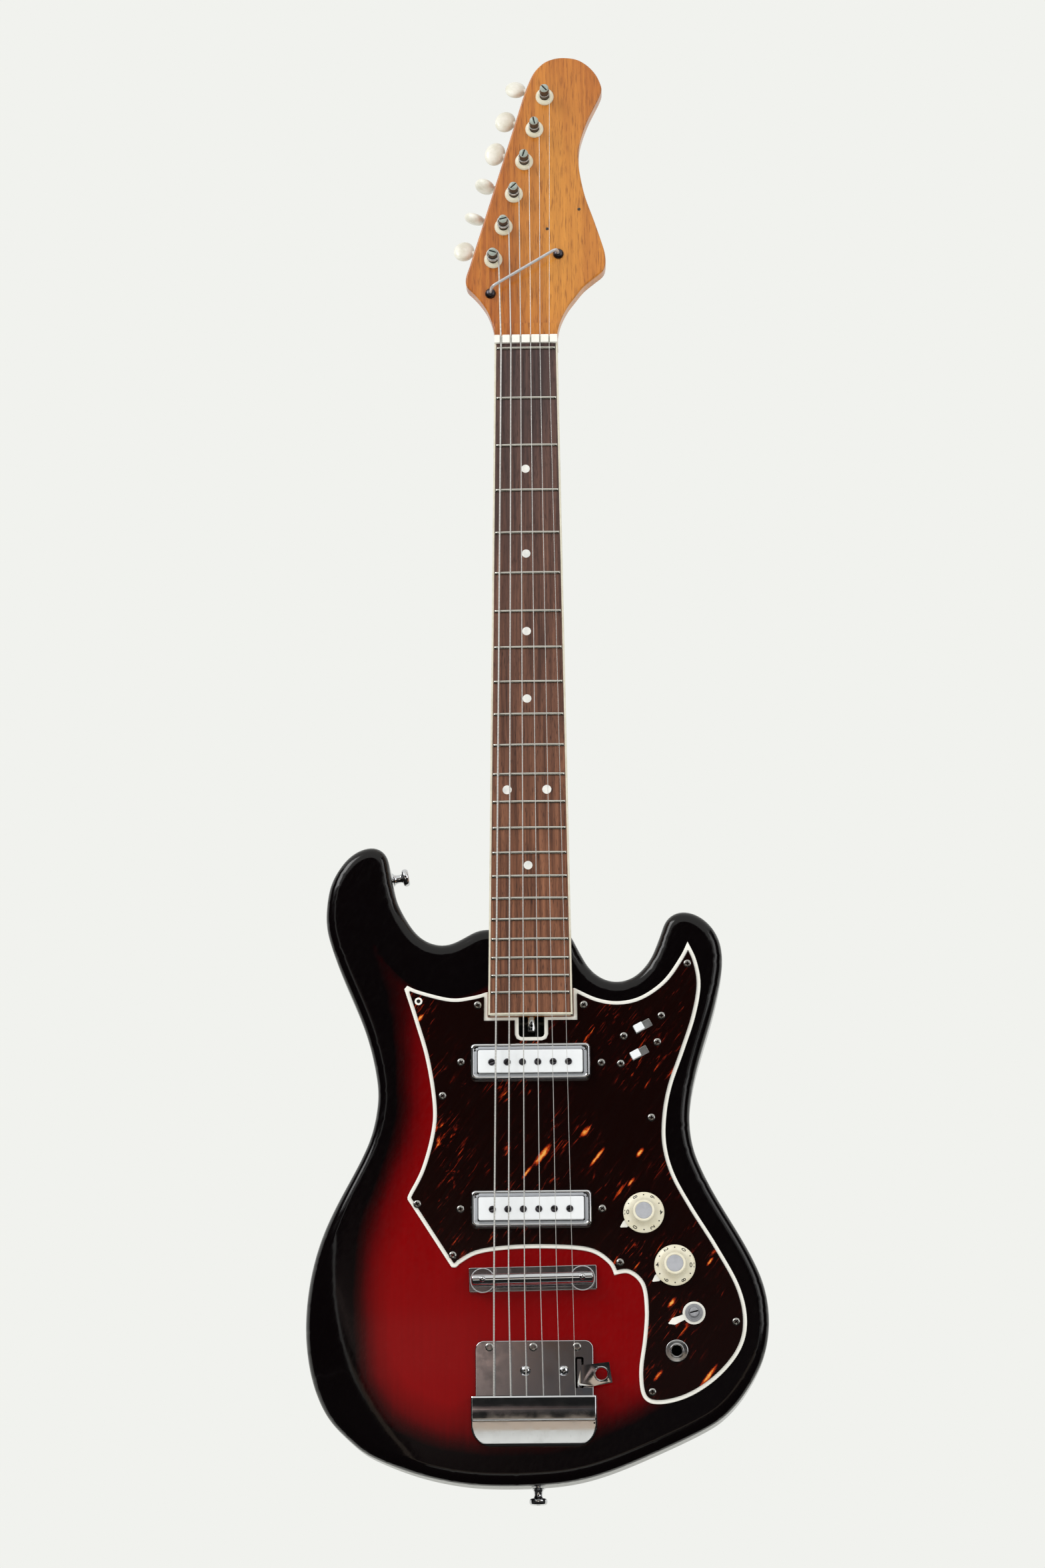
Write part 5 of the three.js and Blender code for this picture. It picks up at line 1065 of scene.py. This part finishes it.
CAP = [[0, -34.62], [4.6, -34.62], [5.2, -34.55], [5.4, -34.4], [5.4, -34.1], [0, -34.1]]
outside = [[r, SKIRT_Y - KNOB_HEIGHT * share] for r, share in KNOB_PROFILE]
under = [[5.45, -34.2], [0, -34.2], [0, FACE + 7], [3.0, FACE + 7], [3.0, SKIRT_Y - 2.4], [6.3, SKIRT_Y - 2.4],
         [6.3, SKIRT_Y], [12.9, SKIRT_Y], outside[0]]
for k, first in enumerate((240, 60)):
    body, place = f"knob_{k + 1}", place_at(KNOBS[k][0], 0, KNOBS[k][1])
    make(f"knob_moulded_{k + 1}", lathe(outside + under, place, 96), CREAM, body, body, angle=40)
    make(f"knob_cap_{k + 1}", lathe(CAP, place), GREY, None, body)
    make(f"knob_numbers_{k + 1}", moved(dial(first), place), INK, None, body, angle=60)


# Controls

def pointer_loop(radius=7.3):
    """A washer with an arrow-shaped arm along X."""
    start = math.asin(1.8 / radius)
    angle = np.linspace(start, 2 * math.pi - start, 60)
    low = np.array([[10, -1.95], [13.4, -2.3], [14.2, -2.25], [17.6, -0.35]])
    return np.concatenate([radius * np.stack([np.cos(angle), np.sin(angle)], 1), low, low[::-1] * [1, -1]])


NUT_RING = circle(0, 0, 5.7, 48)
COLLAR = [[3.4, -25.2], [3.5, -25.9], [4.2, -25.9], [4.3, -25.7], [4.3, -25.2], [3.4, -25.2]]
CAN = [[3.4, GUARD_TOP], [4.4, GUARD_TOP], [4.4, FACE + 0.3], [11.2, FACE + 0.3], [11.5, FACE + 0.7],
       [11.5, FACE + 13], [0, FACE + 13], [0, FACE + 7.5], [3.4, FACE + 7.5], [3.4, GUARD_TOP]]
for k, (x, z, pointer) in enumerate(KNOBS):
    place = turned_at(x, z, pointer)
    washer = slab(pointer_loop(), GUARD_TOP - 0.75, GUARD_TOP, 0.2, (), 3, 0)
    make(f"pointer_washer_{k + 1}", moved(washer, place), WHITE, f"pot_{k + 1}")
    nut = lofted([raised(NUT_RING, y, share) for share, y in ((0.93, -25.3), (1, -24.9), (1, GUARD_TOP - 0.6))])
    make(f"pot_nut_{k + 1}", moved(combine(nut, lathe(COLLAR, sides=40)), place), SATIN, None)
    make(f"pot_can_{k + 1}", lathe(CAN, place, 48), STEEL, None)

x, z, _ = KNOBS[2]
tip, slot = screw_head(3.0, 0.5, bar_mark(5.4, 0.9), 1.4, 14, 0.85)
shaft = lathe([[3.0, -29.8], [3.0, FACE + 7], [0, FACE + 7]], place_at(x, 0, z), 36)
make("tone_shaft_turned", combine(moved(tip, place_at(x, -30.0, z)), shaft), SATIN, "tone_shaft",
     "tone_shaft")
make("tone_shaft_slot", moved(slot, place_at(x, -30.0, z)), DARK, None, "tone_shaft")

BORE_END = FACE + 12 - GUARD_TOP
for name, node, material, sides, profile in (
        ("jack_washer", "output_jack", DULL_CHROME, 64, [
            [4.5, -1.35], [5.4, -1.15], [6.7, -1.1], [7.15, -0.9], [7.3, -0.5], [7.3, 0], [4.5, 0], [4.5, -1.35]]),
        ("jack_collar", None, CHROME, 64, [
            [3.4, -2.3], [3.55, -2.55], [3.9, -2.65], [4.3, -2.55], [4.5, -2.2], [4.5, BORE_END - 8],
            [4.6, BORE_END + 1], [0, BORE_END + 1], [0, BORE_END], [3.4, BORE_END], [3.4, -2.3]]),
        ("jack_bore", None, DARK, 48, [
            [3.38, -1.6], [3.38, BORE_END - 0.2], [0, BORE_END - 0.2], [0, BORE_END - 0.1], [3.39, BORE_END - 0.1],
            [3.39, -1.6], [3.38, -1.6]])):
    make(name, lathe(profile, place_at(JACK[0], GUARD_TOP, JACK[1]), sides), material, node)

slot, box = rounded_box(-6.1, 6.1, -2.8, 2.8, 0.5, 3), rounded_box(-11, 11, -4.6, 4.6, 0.6, 3)
case = combine(framed(box, slot, [[0, FACE + 0.3], [1, FACE + 0.3], [1, FACE + 4.6], [0, FACE + 4.6]]),
               slab(box, FACE + 4.6, FACE + 9, 0, (), 6))
tab = slab(rounded_box(-5.85, 0.45, -2.55, 2.55, 0.5), -26.1, FACE + 4.2, 0.35, (), 3, 0)
for k, (x, z) in enumerate(SWITCHES):
    place = turned_at(x, z, SWITCH_TILT)
    make(f"switch_case_{k + 1}", moved(case, place), SWITCH_GREY, f"switch_housing_{k + 1}")
    make(f"switch_tab_{k + 1}", moved(tab, place), COVER_WHITE, f"switch_slider_{k + 1}",
         f"slider_{k + 1}")


# Bridge

BRIDGE, POST_LINE = turned_at(0.3, 131.3, BRIDGE_TILT), -0.9
STUD = [[0, -35.0], [0.7, -34.95], [1.3, -34.75], [1.7, -34.4], [1.95, -33.9], [2.0, -33.3], [2.0, FACE + 0.5],
        [0, FACE + 0.5]]
HALF_BAR = [[-39, 0], [-39, 2.6], [-38.8, 3.1], [-38.4, 3.4], [-37.9, 3.5]]
DISC = [[2.3, -26.85], [7.35, -26.85], [7.4, -26.5], [7.4, -25.2], [2.3, -25.2], [2.3, -26.85]]
RIM = [[7.35, -26.85], [7.45, -27.0], [7.75, -27.0], [8.0, -26.75], [8.0, -25.1], [7.8, -24.9], [7.35, -24.9],
       [7.35, -26.85]]
studs = [lathe(STUD, place_at(u, 0, POST_LINE), 32) for u in (-32, 32)]
base = slab(rounded_box(-41, 41, -7.9, 7.9, 0.8), PLATE_FACE, FACE, 0.35, (), 8, 0)
make("bridge_base_plate", moved(combine(base, *studs), BRIDGE), CHROME, "bridge_base")
make("bridge_bar_turned", moved(along_x(HALF_BAR + [[-x, r] for x, r in HALF_BAR[::-1]], 64),
                                BRIDGE @ place_at(0, -30.5, POST_LINE)), CHROME, "bridge_bar",
     "bridge_bar")
for k, u in ((1, -32), (2, 32)):
    disc, rim = (moved(lathe(profile, place_at(u, 0, POST_LINE), 72), BRIDGE) for profile in (DISC, RIM))
    make(f"bridge_wheel_turned_{k}", disc, CHROME, f"bridge_thumbwheel_{k}", f"thumbwheel_{k}",
         angle=30)
    make(f"bridge_wheel_edge_{k}", rim, BRIGHT, None, f"thumbwheel_{k}")


# Vibrato tailpiece

holes = [rounded_box(27, 32.4, 61, 81, 1.2), rounded_box(22.5, 32.5, 41, 51.5, 0.5)]
plate = slab(rounded_box(-36.8, 38.6, 27, 91.7, 5.5, 10, 13), PLATE_FACE, FACE, 0.5, holes, 9, 0)
ears = [slab(rounded_box(a, b, 43, 49, 0.3, 2), -29.6, FACE - 1, 0) for a, b in ((-31.4, -29.3), (31.8, 33.9))]
make("tailpiece_base_plate", combine(plate, *ears), CHROME, "tailpiece_plate")

COVER_LOW, FLARE_LOW, FLARE_HIGH, COVER_HIGH = 24.2, 26.2, 40.45, 56.0
COVER_TOP_RUN = [
    (FLARE_HIGH, 9), (40.5, 13.0), (40.6, 13.2), (40.8, 13.26), (42, 13.31), (43.5, 13.36), (45, 13.39), (47, 13.41),
    (49, 13.37), (50.5, 13.31), (52, 13.22), (53.3, 13.12), (54.5, 13.01), (55.2, 12.87), (55.6, 12.6), (55.85, 12.1),
    (COVER_HIGH, 10.2)]


def cover_rise(z):
    """The cover's height: a low flare whose slope falls evenly from 9 degrees to 3, a small ledge, then a nearly flat
    top that falls towards the strings."""
    s = np.clip(z - FLARE_LOW, 0, 14)
    flare = 7.4 + 0.158 * s - 0.004 * s ** 2
    foot = 5.6 + 1.8 * (1 - rounded((z - COVER_LOW) / 2, 1))
    top = np.interp(z, *np.array(COVER_TOP_RUN).T)
    return np.where(z < FLARE_LOW, np.minimum(foot, flare), np.where(z < FLARE_HIGH, flare, top))


def cover_shape():
    """A sheet over the outline with round lower corners: each row spans the outline at its height and drops by a
    quarter circle at both ends."""
    left, right, heel, edge = -39.6, 40.7, 13.0, 1.4
    quarter = 1 - np.cos(np.linspace(0, math.pi / 2, 6))
    levels = np.unique(np.concatenate([
        COVER_LOW + 2 * quarter, np.linspace(FLARE_LOW, 40.4, 22), [FLARE_HIGH, 40.5, 40.6, 40.8, 41, 41.4, 41.8, 42.4],
        np.linspace(43, COVER_HIGH, 24)]))
    u = edge * (1 - np.cos(np.linspace(0, math.pi / 2, 7)))
    drop = rounded(u, edge)
    rows = []
    for z in levels:
        cut_in = rounded(z - COVER_LOW, heel)
        a, b = left + cut_in, right - cut_in
        x = np.concatenate([[a], a + u, np.linspace(a + edge, b - edge, 26)[1:-1], (b - u)[::-1], [b]])
        y = FACE - cover_rise(z) + np.concatenate([[0], drop, np.zeros(24), drop[::-1], [0]])
        y[[0, -1]] = FACE
        rows.append(spread(x, y, z))
    rows = np.array([rows[0] * [1, 0, 1] + [0, FACE, 0], *rows])
    faces = grid_faces(len(rows), rows.shape[1], wrap=False)
    piece = make("tailpiece_hood", (rows.reshape(-1, 3), faces), CHROME, "tailpiece_cover", angle=38)
    if read(piece.data.polygons, "normal")[:, 1].mean() > 0:
        piece.data.flip_normals()
    shell = piece.modifiers.new("sheet", "SOLIDIFY")
    shell.thickness, shell.offset = 0.0011, -1.0


cover_shape()
make("hood_dark_spot", lathe([[0, -28.95], [0.6, -28.95], [0.6, -28.6], [0, -28.6]], place_at(39.0, 0, 38.4), 16), DARK,
     None)

turn = np.linspace(0, 3, 121)
wave = 2 * math.pi * turn
coil = spread(-28.5 - 3.6 - 1.6 * turn, FACE - 6.8 + 2.6 * np.cos(wave), 46 + 2.6 * np.sin(wave))
legs = coil[[0, -1]] * [1, 1, 0] + [[0, 0, 41], [0, 0, 51]]
make("spring_wire", tube(np.concatenate([legs[:1], coil, legs[1:]]), 0.5), STEEL, "vibrato_spring",
     angle=60)


# Strap buttons and the plate behind the neck

STRAP_PROFILE = [
    [0, -12], [1.9, -12], [1.9, 0.2], [4.6, 0.2], [4.5, 0.6], [3.7, 1.1], [3.1, 1.9], [2.8, 3], [2.7, 4.4], [2.75, 5.6],
    [3.1, 6.3], [4.0, 6.7], [5.0, 6.85], [5.6, 7.4], [5.8, 8.2], [5.75, 9.2], [5.4, 10.1], [4.8, 10.65], [4.0, 10.8],
    [1.6, 10.8], [1.5, 10.3], [0, 10.3]]
for name, x, z, angle in (("strap_button_horn", -91.1, 398.6, 10), ("strap_button_tail", 2.4, 0, -90)):
    c, s = cos_sin(angle)
    place = place_at(x, 0, z, ((0, 1, 0), (c, 0, s), (s, 0, -c)))
    make(f"{name}_turned", lathe(STRAP_PROFILE, place, 56), CHROME, name)

middle = NECK_END + 29
parts = [slab(rounded_box(-26, 26, middle - 32, middle + 32, 6, 10), BACK, BACK + 1.6, 0, (), 12, 0.4)]
for i, j in ((-1, -1), (-1, 1), (1, -1), (1, 1)):
    points, faces = combine(*screw_head(4.4, 1.6, cross_mark(4.6, 1.1), 1.2, 25 + 20 * i + 33 * j))
    parts.append((points * [1, -1, 1] + [19 * i, BACK + 1.6, middle + 25 * j], faces))
make("neck_plate_pressed", combine(*parts), CHROME, "neck_plate")


# Pieces whose CAD form is kept: a merged copy, smooth, with its sharp edges rounded so that they catch the light

for node, body, material, slot, bevel in (
        ("nut", "guitar", WHITE, "white_plastic", 0.25),
        ("truss_rod", "guitar", CHROME, "chrome_metal", 0.3),
        ("tuner_strip", "guitar", DULL_CHROME, "chrome_metal", 0.2),
        ("vibrato_rocker", "vibrato", CHROME, "chrome_metal", 0.3)):
    piece = bpy.data.objects.new(f"{node}_finish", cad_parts[node].data.copy())
    scene.collection.objects.link(piece)
    finish(piece, material, node, body)
    edge = piece.modifiers.new("round", "BEVEL")
    edge.width, edge.segments, edge.limit_method = bevel * 0.001, 2, "ANGLE"
    edge.angle_limit, edge.harden_normals, edge.use_clamp_overlap = math.radians(SHARP), True, True


# Studio

def card(name, centre, across, up, material):
    """A flat sheet that reaches across and up both ways from its centre."""
    centre, across, up = (np.array(v, float) for v in (centre, across, up))
    mesh = bpy.data.meshes.new(name)
    corners = [centre + i * across + j * up for i, j in ((-1, -1), (1, -1), (1, 1), (-1, 1))]
    mesh.from_pydata([tuple(corner) for corner in corners], [], [(0, 1, 2, 3)])
    sheet = bpy.data.objects.new(name, mesh)
    scene.collection.objects.link(sheet)
    mesh.materials.append(material)
    return sheet


def lamp(name, place, target, width, height, power):
    """A soft rectangular lamp aimed at a point."""
    light = bpy.data.lights.new(name, "AREA")
    light.shape, light.size, light.size_y, light.energy = "RECTANGLE", width, height, power
    holder = bpy.data.objects.new(name, light)
    scene.collection.objects.link(holder)
    holder.location = place
    holder.rotation_euler = (Vector(target) - Vector(place)).to_track_quat("-Z", "Y").to_euler()
    return holder


def glowing_reflection_card():
    """A card seen in reflections only, which glows with painted grey, pink and beige bands and blotches: painted
    reflections, set at the heights where the chrome mirrors them.
    """
    material, shader, add = surface("glowing_reflection_card", Roughness=0.9, Emission_Strength=1.0, Base_Color="#070707")
    height, side = (add("ShaderNodeSeparateXYZ", size=1000, out=axis) for axis in "ZX")
    # Painted reflections: these blotches and the bands below are glowing colours set where the chrome mirrors them
    blotch = add(NOISE, {"Detail": 3, "Distortion": 0.6}, size=(60, 60, 25))
    grain = add(RAMP, {"Fac": blotch}, stops=[
        (0.32, "#0b0a0b"), (0.5, "#2f2a2a"), (0.62, "#544a46"), (0.75, "#191617")])
    across = add(RANGE, {"Value": side, 1: -0.27, 2: 0.0})
    shade = add(RAMP, {"Fac": across}, stops=[(0.0, "#c9b0a7"), (0.3, "#8a746b"), (0.6, "#57473c"), (1.0, "#453f3f")])
    lower = add(RAMP, {"Fac": across}, stops=[(0.0, "#8a7d78"), (0.35, "#655c59"), (0.5, "#4b4a4c"), (1.0, "#3f4347")])
    for start, end, band in ((0.615, 0.59, lower), (0.70, 0.72, grain), (0.83, 0.86, "#0b0b0c"),
                             (0.46, 0.44, "#0a0a0b"), (0.09, 0.05, "#c6b5a2")):
        shade = add(MIX, {0: add(RANGE, {"Value": height, 1: start, 2: end}), 6: shade, 7: band}, **BLEND)
    feed(shader, Emission_Color=shade)
    return material


def studio():
    """A pale room: the camera and mirrors see a pale backdrop, and soft lamps light the object from above and the
    sides. Dark cloths beside the camera and a glowing card behind it are what the lacquer and the chrome reflect; the
    card's bands are painted reflections."""
    world = bpy.data.worlds.new("studio")
    scene.world = world
    world.use_nodes = True
    world.node_tree.nodes.clear()
    add = partial(put, world.node_tree)
    camera_ray, glossy_ray, through_ray = (
        add("ShaderNodeLightPath", out=f"Is {kind} Ray") for kind in ("Camera", "Glossy", "Transmission"))
    seen = add(MATH, {0: camera_ray, 1: glossy_ray}, operation="MAXIMUM")
    seen = add(MATH, {0: seen, 1: through_ray}, operation="MAXIMUM")
    soft, dim, pale = (add("ShaderNodeBackground", {"Color": "#f1f2ee", "Strength": s}) for s in (0.9, 0.9, 1.0))
    direct = add("ShaderNodeMixShader", {0: glossy_ray, 1: pale, 2: dim})
    add("ShaderNodeOutputWorld", {"Surface": add("ShaderNodeMixShader", {0: seen, 1: soft, 2: direct})})

    camera = bpy.data.objects.new("camera", bpy.data.cameras.new("camera"))
    scene.collection.objects.link(camera)
    # The camera's own axes
    right, down, ahead = (0.99958, 0.02839, -0.00604), (-0.01254, 0.23451, -0.97203), (-0.02618, 0.9717, 0.23477)
    place = place_at(0.0708, -2.8107, -0.2161, (right, -np.array(down), -np.array(ahead)))
    camera.matrix_world = Matrix(place.tolist())
    camera.data.lens, camera.data.sensor_width, camera.data.sensor_fit = 100, 36, "AUTO"
    camera.data.clip_end = 50
    scene.camera = camera

    paper, *_ = surface("floor_paper", Roughness=0.9, Base_Color="#eeeeea")
    card("floor", (0, 0, -0.47), (40, 0, 0), (0, 40, 0), paper)
    # The card behind the camera glows with painted reflections; the black cloths only darken what is mirrored
    reflection_card = glowing_reflection_card()
    black, *_ = surface("black_cloth", Roughness=0.95, Base_Color="#060606")
    for name, centre, across, up, material in (
            ("front_reflection_card", (0.1, -5.2, 0.6), (2.6, 0, 0), (0, 0, 1.7), reflection_card),
            ("left_cloth", (-3.2, -2.3, 1.4), (0, 2.9, 0), (0, 0, 1.85), black),
            ("right_cloth", (3.2, -2.3, 1.4), (0, 2.9, 0), (0, 0, 1.85), black),
            ("left_floor_cloth", (-1.8, -2.4, -0.46), (1.42, 0, 0), (0, 2.8, 0), black),
            ("right_floor_cloth", (1.8, -2.4, -0.46), (1.42, 0, 0), (0, 2.8, 0), black),
            ("near_floor_cloth", (0, -0.8, -0.46), (0.38, 0, 0), (0, 1.1, 0), black)):
        sheet = card(name, centre, across, up, material)
        sheet.visible_camera = sheet.visible_shadow = sheet.visible_diffuse = False
    lamp("key_lamp", (-2.2, -2.0, 2.4), (0, 0, 0.4), 1.6, 1.6, 44)
    lamp("fill_lamp", (2.4, -2.2, 1.2), (0, 0, 0.4), 1.4, 2.0, 18)
    lamp("low_lamp", (-1.6, -2.2, -0.3), (0, 0, 0.2), 1.0, 1.0, 7).visible_glossy = False
    scene.view_settings.view_transform = "Standard"


studio()
